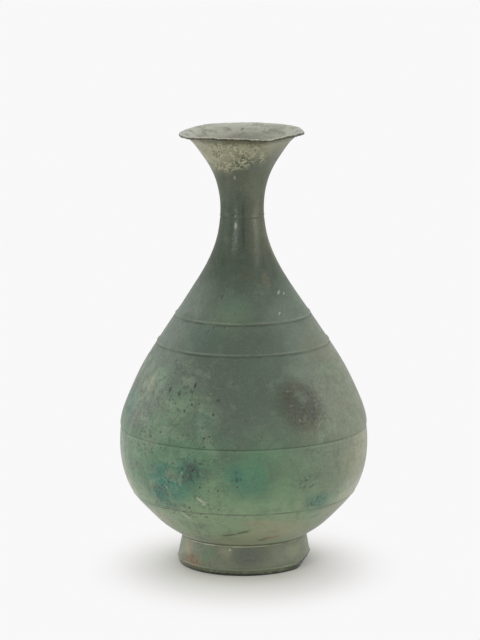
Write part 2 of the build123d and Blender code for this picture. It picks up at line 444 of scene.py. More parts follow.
class Nodes:
    """Adds shader nodes to a tree and hands back their outputs."""

    def __init__(self, tree: bpy.types.NodeTree) -> None:
        """Clears the tree to start from."""
        self.tree = tree
        self.tree.nodes.clear()

    def node(self, kind: str, inputs: dict[int | str, object] | None = None,
             **options: str) -> bpy.types.Node:
        """Adds a node.

        Args:
            kind: the kind of node.
            inputs: what goes into it, by the input's name or number; a socket is linked and a value is set.
            options: its settings, which are made before it is fed.

        Returns:
            The node.
        """
        made = self.tree.nodes.new(kind)
        for name, setting in options.items():
            setattr(made, name, setting)
        for key, value in (inputs or {}).items():
            if isinstance(value, Socket):
                self.tree.links.new(value, made.inputs[key])
            else:
                made.inputs[key].default_value = value
        return made

    def maths(self, operation: str, first: object, second: object = 0.0) -> Socket:
        """One sum on two numbers."""
        return self.node("ShaderNodeMath", {0: first, 1: second}, operation=operation).outputs[0]

    def vector(self, operation: str, first: object, second: object) -> Socket:
        """One sum on two vectors."""
        return self.node("ShaderNodeVectorMath", {0: first, 1: second}, operation=operation).outputs[0]

    def both(self, *shares: object) -> Socket:
        """The product of several shares."""
        return reduce(lambda first, second: self.maths("MULTIPLY", first, second), shares)

    def most(self, *shares: object) -> Socket:
        """The highest of several shares."""
        return reduce(lambda first, second: self.maths("MAXIMUM", first, second), shares)

    def without(self, share: Socket) -> Socket:
        """What is left of one when a share is taken off."""
        return self.maths("SUBTRACT", 1.0, share)

    def ramp(self, value: object, start: float, end: float, low: float = 0.0, high: float = 1.0) -> Socket:
        """Eases from low to high while a value goes from start to end; start may be above end.

        Args:
            value: the value.
            start: the value at which the result is low.
            end: the value at which the result is high.
            low: the result at the start and before it.
            high: the result at the end and after it.

        Returns:
            The eased result.
        """
        if start > end:
            start, end, low, high = end, start, high, low
        inputs = {"From Min": start, "From Max": end, "To Min": low, "To Max": high, "Value": value}
        return self.node("ShaderNodeMapRange", inputs, interpolation_type="SMOOTHSTEP").outputs["Result"]

    def share(self, *fades: object) -> Socket:
        """The product of several shares, each a number, a socket or what a ramp takes."""
        return self.both(*[self.ramp(*fade) if isinstance(fade, tuple) else fade for fade in fades])

    def lay(self, under: object, over: Colour, *fades: object) -> Socket:
        """Lays one colour over another by the product of several shares."""
        inputs = {0: self.share(*fades), 6: under, 7: over}
        return self.node("ShaderNodeMix", inputs, data_type="RGBA").outputs[2]

    def blend(self, share: Socket, under: bpy.types.Node, over: bpy.types.Node, kind: str) -> None:
        """Shows one surface over another by a share, in an output node of a kind."""
        mixed = self.node("ShaderNodeMixShader", {0: share, 1: under.outputs[0], 2: over.outputs[0]})
        self.node(kind, {"Surface": mixed.outputs[0]})

    def seen(self) -> Socket:
        """One where a ray comes from the camera, a glossy surface or a clear one."""
        rays = self.node("ShaderNodeLightPath").outputs
        return self.most(*[rays[f"Is {kind} Ray"] for kind in ("Camera", "Glossy", "Transmission")])


class Brush(Nodes):
    """Lays the layers of one material."""

    SWAY_DETAIL = 4.0
    SWAY_ROUGH = 0.62
    CRACK_SWAY = (0.6, 0.5)
    SHEEN_ROUGH = 0.4

    def __init__(self, name: str) -> None:
        """Starts an empty material that reads Object coordinates.

        Args:
            name: the material's name.
        """
        self.material = bpy.data.materials.new(name)
        self.material.use_nodes = True
        super().__init__(self.material.node_tree)
        self.place = self.node("ShaderNodeTexCoord").outputs["Object"]
        split = self.node("ShaderNodeSeparateXYZ", {"Vector": self.place})
        self.across = split.outputs["X"]
        self.depth = split.outputs["Y"]
        self.height = split.outputs["Z"]
        normal = self.node("ShaderNodeNewGeometry").outputs["Normal"]
        self.facing_up = self.node("ShaderNodeSeparateXYZ", {"Vector": normal}).outputs["Z"]
        squares = self.maths("ADD", self.both(self.across, self.across), self.both(self.depth, self.depth))
        self.radius = self.maths("SQRT", squares)

    def line(self, height: float, half_width: float, share: float) -> Socket:
        """A level line at a height in millimetres, which eases to nothing at its half width."""
        away = self.maths("ABSOLUTE", self.maths("SUBTRACT", self.height, height * MM))
        return self.share((away, half_width * MM, half_width * MM / 4), share)

    def lines(self, *lines: Line) -> Socket:
        """The highest of several level lines, each with its height, half width and share."""
        return self.most(*[self.line(*line) for line in lines])

    def stretched(self, wide: float, tall: float) -> Socket:
        """The place, squeezed so that a pattern on it comes out wider or taller."""
        inputs = {"Vector": self.place, "Scale": (1 / wide, 1 / wide, 1 / tall)}
        return self.node("ShaderNodeMapping", inputs).outputs["Vector"]

    def noise(self, grain: float, detail: float, rough: float, seed: float, swirl: float = 0.0,
              place: Socket | None = None) -> Socket:
        """A cloudy pattern.

        Args:
            grain: the size of its largest clouds in millimetres.
            detail: how many finer layers it has.
            rough: how strong those are.
            seed: a number that gives another pattern of the same kind.
            swirl: how much the clouds are drawn out into swirls.
            place: where it is read, if not at the plain place.

        Returns:
            The pattern's value, about 0.5 on average.
        """
        inputs = {"Scale": 1 / (grain * MM), "Detail": detail, "Roughness": rough, "W": seed,
                  "Distortion": swirl, "Vector": self.place if place is None else place}
        return self.node("ShaderNodeTexNoise", inputs, noise_dimensions="4D").outputs["Fac"]

    def swayed(self, grain: float, reach: float) -> Socket:
        """Moves the place about by a cloudy pattern, so that what is read there has a wandering edge.

        Args:
            grain: the size of the pattern's clouds in millimetres.
            reach: how far apart the ends of the sway are, in millimetres.

        Returns:
            The moved place.
        """
        inputs = {"Scale": 1 / (grain * MM), "Detail": self.SWAY_DETAIL, "Roughness": self.SWAY_ROUGH,
                  "Vector": self.place}
        clouds = self.node("ShaderNodeTexNoise", inputs).outputs["Color"]
        centred = self.vector("SUBTRACT", clouds, (0.5, 0.5, 0.5))
        return self.vector("ADD", self.place, self.vector("MULTIPLY", centred, (reach * MM,) * 3))

    def cells(self, grain: float, place: Socket | None = None, feature: str = "F1") -> Socket:
        """The distance to the nearest of many scattered points, in parts of their spacing."""
        inputs = {"Scale": 1 / (grain * MM), "Vector": self.place if place is None else place}
        return self.node("ShaderNodeTexVoronoi", inputs, feature=feature).outputs["Distance"]

    def cracks(self, grain: float) -> Socket:
        """The distance to the nearest of many wandering lines that meet like the cracks of dried mud."""
        place = self.swayed(*[grain * part for part in self.CRACK_SWAY])
        return self.cells(grain, place, "DISTANCE_TO_EDGE")

    def spot(self, place: Socket, centre: Place, turn: Span, size: Place, soft: float,
             hollow: float = 0.0) -> Socket:
        """A share that is one inside a rounded patch and eases to nothing at its edge.

        Args:
            place: where it is read.
            centre: the middle of the patch in millimetres.
            turn: its lean in the wall and its azimuth, in degrees.
            size: the half sizes of the patch along, through and up the wall, in millimetres.
            soft: the part of the patch over which it eases off.
            hollow: the part of the patch, from its middle, that stays free, so that a ring is left.

        Returns:
            The share.
        """
        inputs = {"Vector": place, "Location": [part * MM for part in centre],
                  "Rotation": (0.0, math.radians(turn[0]), math.radians(turn[1])),
                  "Scale": [half * MM for half in size]}
        inside = self.node("ShaderNodeMapping", inputs, vector_type="TEXTURE").outputs["Vector"]
        gradient = self.node("ShaderNodeTexGradient", {"Vector": inside}, gradient_type="SPHERICAL")
        ball = gradient.outputs["Fac"]
        share = self.ramp(ball, 0.0, soft)
        if hollow:
            share = self.both(share, self.ramp(ball, 1.0 - hollow + soft, 1.0 - hollow))
        return share

    def finish(self, colour: Socket, roughness: Socket, dusty: float, relief: Socket,
               height: float) -> bpy.types.Material:
        """Joins the layers in one surface.

        Args:
            colour: the colour.
            roughness: how dull the surface is.
            dusty: how much fine dust lies on it, which shows where it turns away.
            relief: the fine relief, from 0 to 1.
            height: how far apart the relief's 0 and 1 are, in millimetres.

        Returns:
            The finished material.
        """
        bump = self.node("ShaderNodeBump", {"Height": relief, "Strength": 1.0, "Distance": height * MM})
        inputs = {"Base Color": colour, "Roughness": roughness, "Sheen Weight": dusty,
                  "Sheen Roughness": self.SHEEN_ROUGH, "Normal": bump.outputs["Normal"]}
        surface = self.node("ShaderNodeBsdfPrincipled", inputs)
        self.node("ShaderNodeOutputMaterial", {"Surface": surface.outputs["BSDF"]})
        return self.material


@dataclass(frozen=True)
class Mark:
    """One mark on the skin, placed by its azimuth from the front towards +X and its height.

    Attributes:
        bloom: what it is.
        edge: how its edge wanders.
        azimuth: degrees from the front.
        height: its height in millimetres.
        wide: half of its width.
        tall: half of its height.
        share: how strongly it covers.
        lean: degrees by which it runs down to the right.
        hollow: the part of it, from its middle, that stays free.
    """

    bloom: Bloom
    edge: Edge
    azimuth: float
    height: float
    wide: float
    tall: float
    share: float
    lean: float = 0.0
    hollow: float = 0.0

    def centre(self, side: SideLine) -> Place:
        """Finds the middle of the mark on a wall.

        Args:
            side: the wall's side line.

        Returns:
            The middle in millimetres.
        """
        radius = side.radius_at(self.height)
        turn = math.radians(self.azimuth)
        return radius * math.sin(turn), -radius * math.cos(turn), self.height


def marks(bloom: Bloom, edge: Edge, *rows: tuple[float, ...]) -> list[Mark]:
    """Marks of one kind, each from its azimuth, height, half width, half height, share, lean and hollow."""
    return [Mark(bloom, edge, *row) for row in rows]


@dataclass(frozen=True)
class Zones:
    """Where the layers of the patina lie, in metres: each starts at one number and is full at the other."""

    malachite: Span = (0.128, 0.098)
    above_seam: Span = (0.1025, 0.1040)
    grey_right: Span = (-0.035, 0.0)
    # pale_bowl, hem and stone_right place paler patina that is partly painted light: on the lower bowl and
    # towards the right.
    pale_bowl: Span = (0.082, 0.052)
    hem: Span = (0.039, 0.028)
    stone_right: Span = (0.024, 0.070)
    below_shoulder: Span = (0.20, 0.17)
    foot: Span = (0.0235, 0.0215)
    neck: Span = (0.188, 0.232)
    # neck_right and neck_warm place the right half of the neck, which is patina partly painted lighter as
    # side light from the right.
    neck_right: Span = (0.0005, 0.009)
    neck_warm: Span = (0.215, 0.25)
    neck_worn: Span = (0.258, 0.284)
    funnel: Span = (0.290, 0.313)
    # The mouth zone holds the pale mouth, which is painted lighter on its upward faces.
    mouth: Span = (0.285, 0.300)
    belly: Span = (0.172, 0.150)
    belly_left: Span = (0.004, -0.045)
    belly_right: Span = (0.02, 0.07)
    belly_sides: Span = (0.046, 0.082)
    pits_left: Span = (0.03, -0.03)
    gloss_low: Span = (0.19, 0.23)
    gloss_high: Span = (0.30, 0.28)
    gloss_middle: Span = (0.014, 0.008)
    gloss_front: Span = (0.0, -0.005)
    strands_low: Span = (0.291, 0.300)
    strands_high: Span = (0.3165, 0.3125)
    strands_front: Span = (-0.004, -0.018)
    strands_left: Span = (0.026, 0.010)
    uneven: Span = (-0.0005, 0.0005)
    # The next six zones place painted shade on the lip's front edge and under the lip, and a painted
    # highlight on its top.
    rim_reach: Span = (0.0421, 0.0432)
    rim_high: Span = (0.310, 0.313)
    rim_front: Span = (0.02, -0.01)
    under_reach: Span = (0.0360, 0.0396)
    under_high: Span = (0.308, 0.312)
    crest_front: Span = (-0.020, -0.034)
    foot_hem: Span = (0.0042, 0.0032)
    # foot_edge, bent_right and fold_right place painted shade on the foot's bottom edge and along its bend.
    foot_edge: Span = (0.0024, 0.0010)
    bent_right: Span = (0.028, 0.038)
    fold_right: Span = (0.036, 0.042)


@dataclass(frozen=True)
class PatinaFinish:
    """Bronze under a weathered grey-green crust: malachite on the belly, dark on the neck, with local
    marks; some layers are painted light and shade.
    """

    ground: Colour = paint(87, 103, 86)
    dark: Colour = paint(66, 79, 66)
    crust: Colour = paint(116, 137, 111)
    stone: Colour = paint(116, 123, 100)
    neck: Colour = paint(53, 67, 48)
    neck_warm: Colour = paint(86, 90, 68)
    neck_worn: Colour = paint(92, 98, 80)
    funnel: Colour = paint(160, 160, 136)
    mouth: Colour = paint(178, 178, 164)
    low: Colour = paint(136, 160, 124)
    hem: Colour = paint(140, 146, 114)
    foot: Colour = paint(114, 121, 98)
    # Dark grime and cracks, also used as painted shade under the threads and in the joints.
    dirt_and_shade: Colour = paint(44, 48, 38)
    # The dark colour of the lip's front edge, which is painted shade.
    rim: Colour = paint(43, 45, 25)
    # A pale colour for real wear, also used as painted highlight on the thread crests and on the foot's
    # scored line.
    worn_and_highlight: Colour = paint(138, 146, 124)
    # Cream for the crust strands, also used as painted highlight on the top of the lip.
    cream: Colour = paint(188, 183, 151)
    shade: Colour = paint(79, 94, 80)
    moss: Colour = paint(104, 124, 97)
    leaf: Colour = paint(122, 152, 116)
    malachite: Colour = paint(86, 128, 94)
    beige: Colour = paint(154, 154, 122)
    tan: Colour = paint(156, 148, 118)
    olive: Colour = paint(80, 82, 52)
    slate: Colour = paint(90, 96, 90)
    teal: Colour = paint(36, 116, 98)
    brown: Colour = paint(58, 62, 39)
    rust: Colour = paint(132, 98, 60)
    pale: Colour = paint(190, 194, 172)
    # Near black for real pits and soot marks, also used as painted shade on the foot's edges and on the
    # neck.
    soot: Colour = paint(34, 38, 32)
    relief_height: float = 0.4
    gloss: float = 0.24
    side_dullness: float = 0.2
    dust: float = 0.32
    thin_dust: float = 0.12
    # Dark lines under the threads and in the joints: grime, and painted shade under the overhanging crests
    # and laps.
    dirt_and_shade_lines: tuple[Line, ...] = (
        *((height - 1.3, 0.9, 0.6) for height in SHOULDER_THREADS),
        (SEAM_Z - 0.2, 0.6, 0.2), (LOWER_LINE - 1.2, 1.0, 0.55), (NECK_THREAD - 1.1, 0.7, 0.25))
    # Pale lines on the thread crests and below the seam and the lower line: rubbed wear and painted
    # highlight.
    rubbed_and_highlight_lines: tuple[Line, ...] = (
        *((height + 0.2, 0.9, 1.0) for height in SHOULDER_THREADS),
        (SEAM_Z - 1.6, 1.2, 0.35), (LOWER_LINE - 2.1, 1.2, 1.0))
    # A pale line on the crest of the foot's scored line: painted highlight.
    foot_crest: Line = (FOOT_LINE + 0.2, 0.7, 0.5)
    # Dark lines along the foot's bent edge and its fold: painted shade.
    bent_edge: Line = (2.4, 2.2, 0.9)
    bent_fold: Line = (4.6, 1.0, 0.85)
    zone: Zones = Zones()

    def material(self, name: str, side: SideLine, placed: list[Mark], dusty: float) -> bpy.types.Material:
        """Lays the patina of one piece.

        Args:
            name: the material's name.
            side: the side line of the piece, on which its marks lie.
            placed: the local marks.
            dusty: how much fine dust lies on the piece.

        Returns:
            The finished material.
        """
        brush = PatinaBrush(name, self)
        brush.coat(self.dark, (brush.cloudy, 0.36, 0.66, 0.0, 0.6))
        brush.belly()
        brush.neck_and_mouth()
        brush.marks(side, placed)
        brush.speckle()
        # Dark olive in the hollows between the crust strands: crust, deepened as painted shade.
        brush.coat(self.olive, brush.hollow, 0.75)
        brush.coat(self.cream, brush.ridge, 0.9)
        brush.lines_and_edges()
        brush.coat(self.soot, brush.pits, 0.85)
        return brush.finish(brush.colour, brush.dullness(), dusty, brush.relief(), self.relief_height)


class PatinaBrush(Brush):
    """Lays old bronze, one layer over the other.

    Attributes:
        tint: the finish with its colours.
        zone: where its layers lie.
        colour: the colour so far.
        cloudy, blotched, mottled, fine: patterns that the layers share, from broad to fine.
        pits: small dark corrosion pits.
        ridge, hollow: short strands of crust under the front of the lip, and the hollows between them,
            which are painted dark partly as shade.
    """

    FUNNEL_SLOPE = 0.3

    def __init__(self, name: str, tint: PatinaFinish) -> None:
        """Starts a material that reads heights as they were on the lathe, before the wall was bent.

        Args:
            name: the material's name.
            tint: the finish with its colours.
        """
        super().__init__(name)
        self.tint = tint
        self.zone = tint.zone
        self.colour = tint.ground
        self.height = self.node("ShaderNodeAttribute", attribute_name="level").outputs["Fac"]
        self.cloudy = self.noise(40, 4.0, 0.6, 1.0)
        self.blotched = self.noise(17, 5.0, 0.62, 5.0, 0.9)
        self.mottled = self.noise(7, 4.0, 0.62, 2.0, 0.6)
        self.fine = self.noise(2.0, 3.0, 0.6, 3.0, 0.4)
        groups = self.share((self.blotched, 0.48, 0.62), (self.across, *self.zone.pits_left, 0.25, 1.0))
        self.pits = self.share((self.cells(5.2), 0.24, 0.14), groups)
        self.ridge, self.hollow = self.strands()

    def coat(self, over: Colour, *fades: object) -> None:
        """Lays a colour over what is there, by the product of several shares."""
        self.colour = self.lay(self.colour, over, *fades)

    def aside(self) -> Socket:
        """How far a point is to the left or right of the axis."""
        return self.maths("ABSOLUTE", self.across)

    def sloped(self) -> Socket:
        """The height above a plane that rises to the right, as the start of the funnel's colour does."""
        return self.maths("SUBTRACT", self.height, self.both(self.across, self.FUNNEL_SLOPE))

    def strands(self) -> tuple[Socket, Socket]:
        """Draws the crust under the front of the lip.

        Returns:
            Its short strands, and the hollows between them.
        """
        zone = self.zone
        under = self.share((self.sloped(), *zone.strands_low), (self.facing_up, 0.2, -0.1))
        front = self.share((self.depth, *zone.strands_front), (self.across, *zone.strands_left))
        patches = self.noise(12, 3.0, 0.6, 12.0, 0.6)
        high = (self.height, *zone.strands_high, 0.3, 1.0)
        area = self.share(under, front, (patches, 0.38, 0.54), high)
        strands = self.noise(3.6, 2.0, 0.5, 11.0, place=self.swayed(4, 5))
        ridge = self.maths("ABSOLUTE", self.maths("SUBTRACT", strands, 0.5))
        hollow = self.noise(4.5, 4.0, 0.65, 17.0, 0.8)
        return self.share((ridge, 0.06, 0.015), area), self.share((hollow, 0.50, 0.60), area)

    def belly(self) -> None:
        """Malachite on the belly, stone grey to the right, partly painted side light, and a paler bowl near
        the foot, partly painted light on the wall that faces down.
        """
        tint, zone = self.tint, self.zone
        green = self.share((self.height, *zone.malachite), (self.blotched, 0.30, 0.60, 0.5, 1.0))
        grey = self.share((self.height, *zone.above_seam), (self.across, *zone.grey_right, 0.0, 0.65))
        self.coat(tint.malachite, green, self.without(grey))
        # A paler bowl and hem near the foot: patina, partly painted light on the wall that faces down.
        self.coat(tint.low, (self.height, *zone.pale_bowl), (self.blotched, 0.35, 0.6, 0.55, 0.95))
        self.coat(tint.hem, (self.height, *zone.hem), (self.cloudy, 0.3, 0.6, 0.6, 0.95))
        # Stone grey towards the right: patina, partly painted side light from the right.
        right = self.share((self.across, *zone.stone_right), (self.cloudy, 0.25, 0.6, 0.6, 0.95))
        self.coat(tint.stone, right, (self.height, *zone.below_shoulder))
        self.coat(tint.foot, (self.height, *zone.foot))

    def neck_and_mouth(self) -> None:
        """A darker, smoother neck with its right half partly painted lighter as side light, a tan funnel,
        and a dusty pale mouth painted lighter on its upward faces as light from above.
        """
        tint, zone = self.tint, self.zone
        self.coat(tint.neck, (self.height, *zone.neck), 0.95)
        # The right half of the neck: warmer patina, partly painted side light from the right.
        self.coat(tint.neck_warm, (self.across, *zone.neck_right), (self.height, *zone.neck_warm), 0.85)
        self.coat(tint.neck_worn, (self.height, *zone.neck_worn, 0.0, 0.6))
        self.coat(tint.funnel, (self.sloped(), *zone.funnel), (self.mottled, 0.3, 0.6, 0.75, 1.0))
        # Dust on the mouth's upward faces, painted lighter as light from above.
        mouth = self.share((self.height, *zone.mouth), (self.facing_up, 0.15, 0.4))
        self.coat(tint.mouth, mouth)
        smears = self.noise(7, 5.0, 0.68, 18.0, 1.2, self.stretched(2.4, 1))
        self.coat(tint.stone, mouth, (smears, 0.47, 0.62), 0.75)
        chalk = self.share((self.fine, 0.54, 0.64), (self.mottled, 0.44, 0.56), 0.7)
        self.coat(tint.pale, mouth, chalk)

    def marks(self, side: SideLine, placed: list[Mark]) -> None:
        """Lays the single stains, blooms and streaks, and the marks of painted light and shade, one colour
        after the other.

        Args:
            side: the side line on which they lie.
            placed: the marks.
        """
        places = {edge: self.swayed(*edge.sway) for edge in Edge}
        broken = {
            Edge.WASH: self.ramp(self.blotched, 0.30, 0.58, 0.6, 1.0),
            Edge.CLOUD: self.ramp(self.fine, 0.34, 0.52, 0.7, 1.0),
            Edge.STAIN: self.ramp(self.fine, 0.34, 0.56, 0.35, 1.0),
            Edge.SPECK: self.ramp(self.fine, 0.25, 0.45, 0.7, 1.0),
            Edge.PEPPER: self.ramp(self.cells(2.9, places[Edge.SPECK]), 0.46, 0.30),
        }
        for bloom, edge in product(Bloom, Edge):
            share = None
            for mark in placed:
                if mark.bloom is bloom and mark.edge is edge:
                    size = (mark.wide, max(mark.wide, mark.tall), mark.tall)
                    turn = (mark.lean, mark.azimuth)
                    shape = self.spot(places[edge], mark.centre(side), turn, size, edge.soft, mark.hollow)
                    shape = self.both(shape, mark.share)
                    share = shape if share is None else self.most(share, shape)
            if share is not None:
                self.coat(getattr(self.tint, bloom.value), share, broken[edge])

    def speckle(self) -> None:
        """Pale crust, bare patches and fine cracks, many on the left of the belly and few elsewhere."""
        tint, zone = self.tint, self.zone
        belly = self.ramp(self.height, *zone.belly)
        left = self.share((self.across, *zone.belly_left), belly)
        right = self.share((self.across, *zone.belly_right), belly)
        amount = self.maths("ADD", self.both(left, 0.46), self.both(right, 0.25))
        amount = self.maths("ADD", amount, self.ramp(belly, 0.0, 1.0, 0.13, 0.25))
        self.coat(tint.crust, (self.blotched, 0.50, 0.64), amount)
        self.coat(tint.dark, (self.noise(13, 5.0, 0.65, 14.0, 1.2), 0.52, 0.64), amount, 0.7)
        self.coat(tint.worn_and_highlight, (self.fine, 0.56, 0.66), (self.mottled, 0.46, 0.62), amount)
        grime = self.noise(2.4, 4.0, 0.7, 15.0, 0.8)
        self.coat(tint.dirt_and_shade, (grime, 0.54, 0.66), (self.blotched, 0.62, 0.42), amount, 0.7)
        self.coat(tint.dirt_and_shade, (self.cracks(8), 0.055, 0.015), (self.mottled, 0.5, 0.6), left, 0.5)
        drips = self.noise(4, 3.0, 0.6, 16.0, place=self.stretched(1, 6))
        self.coat(tint.worn_and_highlight, (self.aside(), *zone.belly_sides), (drips, 0.48, 0.62), belly, 0.32)
        dust = self.noise(1.3, 3.0, 0.7, 19.0)
        grit = self.ramp(self.maths("ADD", left, right), 0.0, 1.0, 0.25, 0.45)
        self.coat(tint.dark, (dust, 0.52, 0.68), grit)
        self.coat(tint.worn_and_highlight, (dust, 0.46, 0.30), grit)
        streaks = self.noise(5, 3.0, 0.6, 7.0, place=self.stretched(9, 1))
        self.coat(tint.dark, (streaks, 0.52, 0.70, 0.0, 0.25))

    def lines_and_edges(self) -> None:
        """Grime and painted shade under threads and in joints, rubbed crests with painted highlight,
        painted shade and highlight on the lip, and painted shade on the foot's edges.
        """
        tint, zone = self.tint, self.zone
        patchy = self.ramp(self.noise(17, 3.0, 0.6, 13.0), 0.36, 0.58, 0.2, 1.0)
        # Painted shade with grime under the threads and joints, then rubbed wear with painted highlight on
        # the crests and on the foot's scored line.
        self.coat(tint.dirt_and_shade, self.lines(*tint.dirt_and_shade_lines), patchy)
        self.coat(tint.worn_and_highlight, self.lines(*tint.rubbed_and_highlight_lines), patchy, 0.35)
        self.coat(tint.worn_and_highlight, self.line(*tint.foot_crest), patchy)
        uneven = self.ramp(self.fine, 0.35, 0.65, *zone.uneven)
        reach = self.maths("ADD", self.radius, uneven)
        rim = self.share((reach, *zone.rim_reach), (self.height, *zone.rim_high))
        front = self.ramp(self.depth, *zone.rim_front, 0.4, 0.95)
        chipped = self.noise(2.6, 2.0, 0.6, 20.0)
        # The lip's outer and downward faces at the front: painted shade, broken up by a chipped pattern.
        outer = self.share(rim, (self.facing_up, 0.9, 0.55), front, (chipped, 0.62, 0.50, 0.5, 1.0))
        # An olive band on the lip's underside at the front: painted shadow under the lip.
        high = self.ramp(self.height, *zone.under_high)
        under = self.share((reach, *zone.under_reach), (self.facing_up, 0.2, -0.2), high)
        self.coat(tint.olive, under, front, (patchy, 0.2, 0.8, 0.45, 0.9))
        self.coat(tint.rim, outer)
        # The lip's upward faces at the front: painted highlight, broken up by a chipped pattern.
        crest = self.share(rim, (self.facing_up, 0.3, 0.7), (chipped, 0.42, 0.54, 0.2, 0.9))
        self.coat(tint.cream, crest, (self.depth, *zone.crest_front))
        low = self.maths("ADD", self.height, uneven)
        self.coat(tint.brown, (low, *zone.foot_hem, 0.0, 0.5), patchy)
        # The foot's bottom edge and its bent edge and fold: painted shade.
        bent = self.share(self.line(*tint.bent_edge), (self.across, *zone.bent_right))
        fold = self.share(self.line(*tint.bent_fold), (self.across, *zone.fold_right))
        self.coat(tint.soot, self.most(bent, fold, self.ramp(low, *zone.foot_edge, 0.0, 0.95)))

    def dullness(self) -> Socket:
        """Finds how dull the surface is.

        Returns:
            A roughness that is low where the front of the neck was handled, and higher beside it.
        """
        zone = self.zone
        dull = self.ramp(self.mottled, 0.3, 0.7, 0.44, 0.6)
        neck = self.share((self.height, *zone.gloss_low), (self.height, *zone.gloss_high))
        handled = self.share((self.aside(), *zone.gloss_middle), (self.depth, *zone.gloss_front))
        dull = self.maths("SUBTRACT", dull, self.both(neck, handled, self.tint.gloss))
        return self.maths("ADD", dull, self.both(neck, self.without(handled), self.tint.side_dullness))

    def relief(self) -> Socket:
        """Adds up the fine relief.

        Returns:
            A height for the turning marks, the grainy crust, the strands and the sunk pits.
        """
        turned = self.noise(2.2, 2.0, 0.5, 6.0, place=self.stretched(14, 1))
        dusty = self.noise(0.8, 2.0, 0.5, 4.0)
        relief = self.both(self.mottled, 0.5)
        for pattern, height in ((self.fine, 0.3), (turned, 0.16), (dusty, 0.08)):
            relief = self.maths("ADD", relief, self.both(pattern, height))
        relief = self.maths("SUBTRACT", relief, self.both(self.pits, 0.5))
        crust = self.maths("SUBTRACT", self.both(self.ridge, 0.5), self.both(self.hollow, 0.3))
        return self.maths("ADD", relief, crust)


@dataclass(frozen=True)
class SolderFinish:
    """Dull soft solder, pale on its crest where it is rubbed and where a highlight is painted, and
    grey-green in its hollows.
    """

    bright: Colour = paint(204, 203, 182)
    dull: Colour = paint(108, 116, 92)
    dark: Colour = paint(58, 66, 56)
    # The pale crest is rubbed solder and painted highlight, strongest on the left.
    crest: Line = (21.2, 0.9, 1.0)
    rubbed_and_lit_left: Span = (0.02, -0.02)
    relief_height: float = 0.4

    def material(self) -> bpy.types.Material:
        """Lays the solder's finish.

        Returns:
            The finished material.
        """
        brush = Brush("old_solder")
        lumps = brush.noise(6, 3.0, 0.6, 8.0)
        fine = brush.noise(1.6, 3.0, 0.6, 9.0)
        crest = brush.share(brush.line(*self.crest), (brush.across, *self.rubbed_and_lit_left, 0.5, 1.0))
        colour = brush.lay(self.dull, self.bright, (lumps, 0.38, 0.6, 0.4, 1.0), crest)
        colour = brush.lay(colour, self.dark, (fine, 0.54, 0.70), 0.5)
        relief = brush.maths("ADD", brush.both(lumps, 0.6), brush.both(fine, 0.4))
        dullness = brush.ramp(fine, 0.3, 0.7, 0.45, 0.65)
        return brush.finish(colour, dullness, 0.0, relief, self.relief_height)


class Skin:
    """A turned wall that rides on the bottle in place of a CAD node."""

    @staticmethod
    def dress(piece: bpy.types.Object, node: str, slot: str, material: bpy.types.Material) -> None:
        """Puts a finish on the skin, and lets it ride on the bottle in place of its CAD node.

        Args:
            piece: the skin.
            node: the CAD node that it stands for.
            slot: the record's material slot; not used.
            material: the finish.
        """
        piece.data.materials.clear()
        piece.data.materials.append(material)
        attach(piece, "root")
        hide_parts(node)
        LOG.info("%s: %d points, for %s", piece.name, len(piece.data.vertices), node)


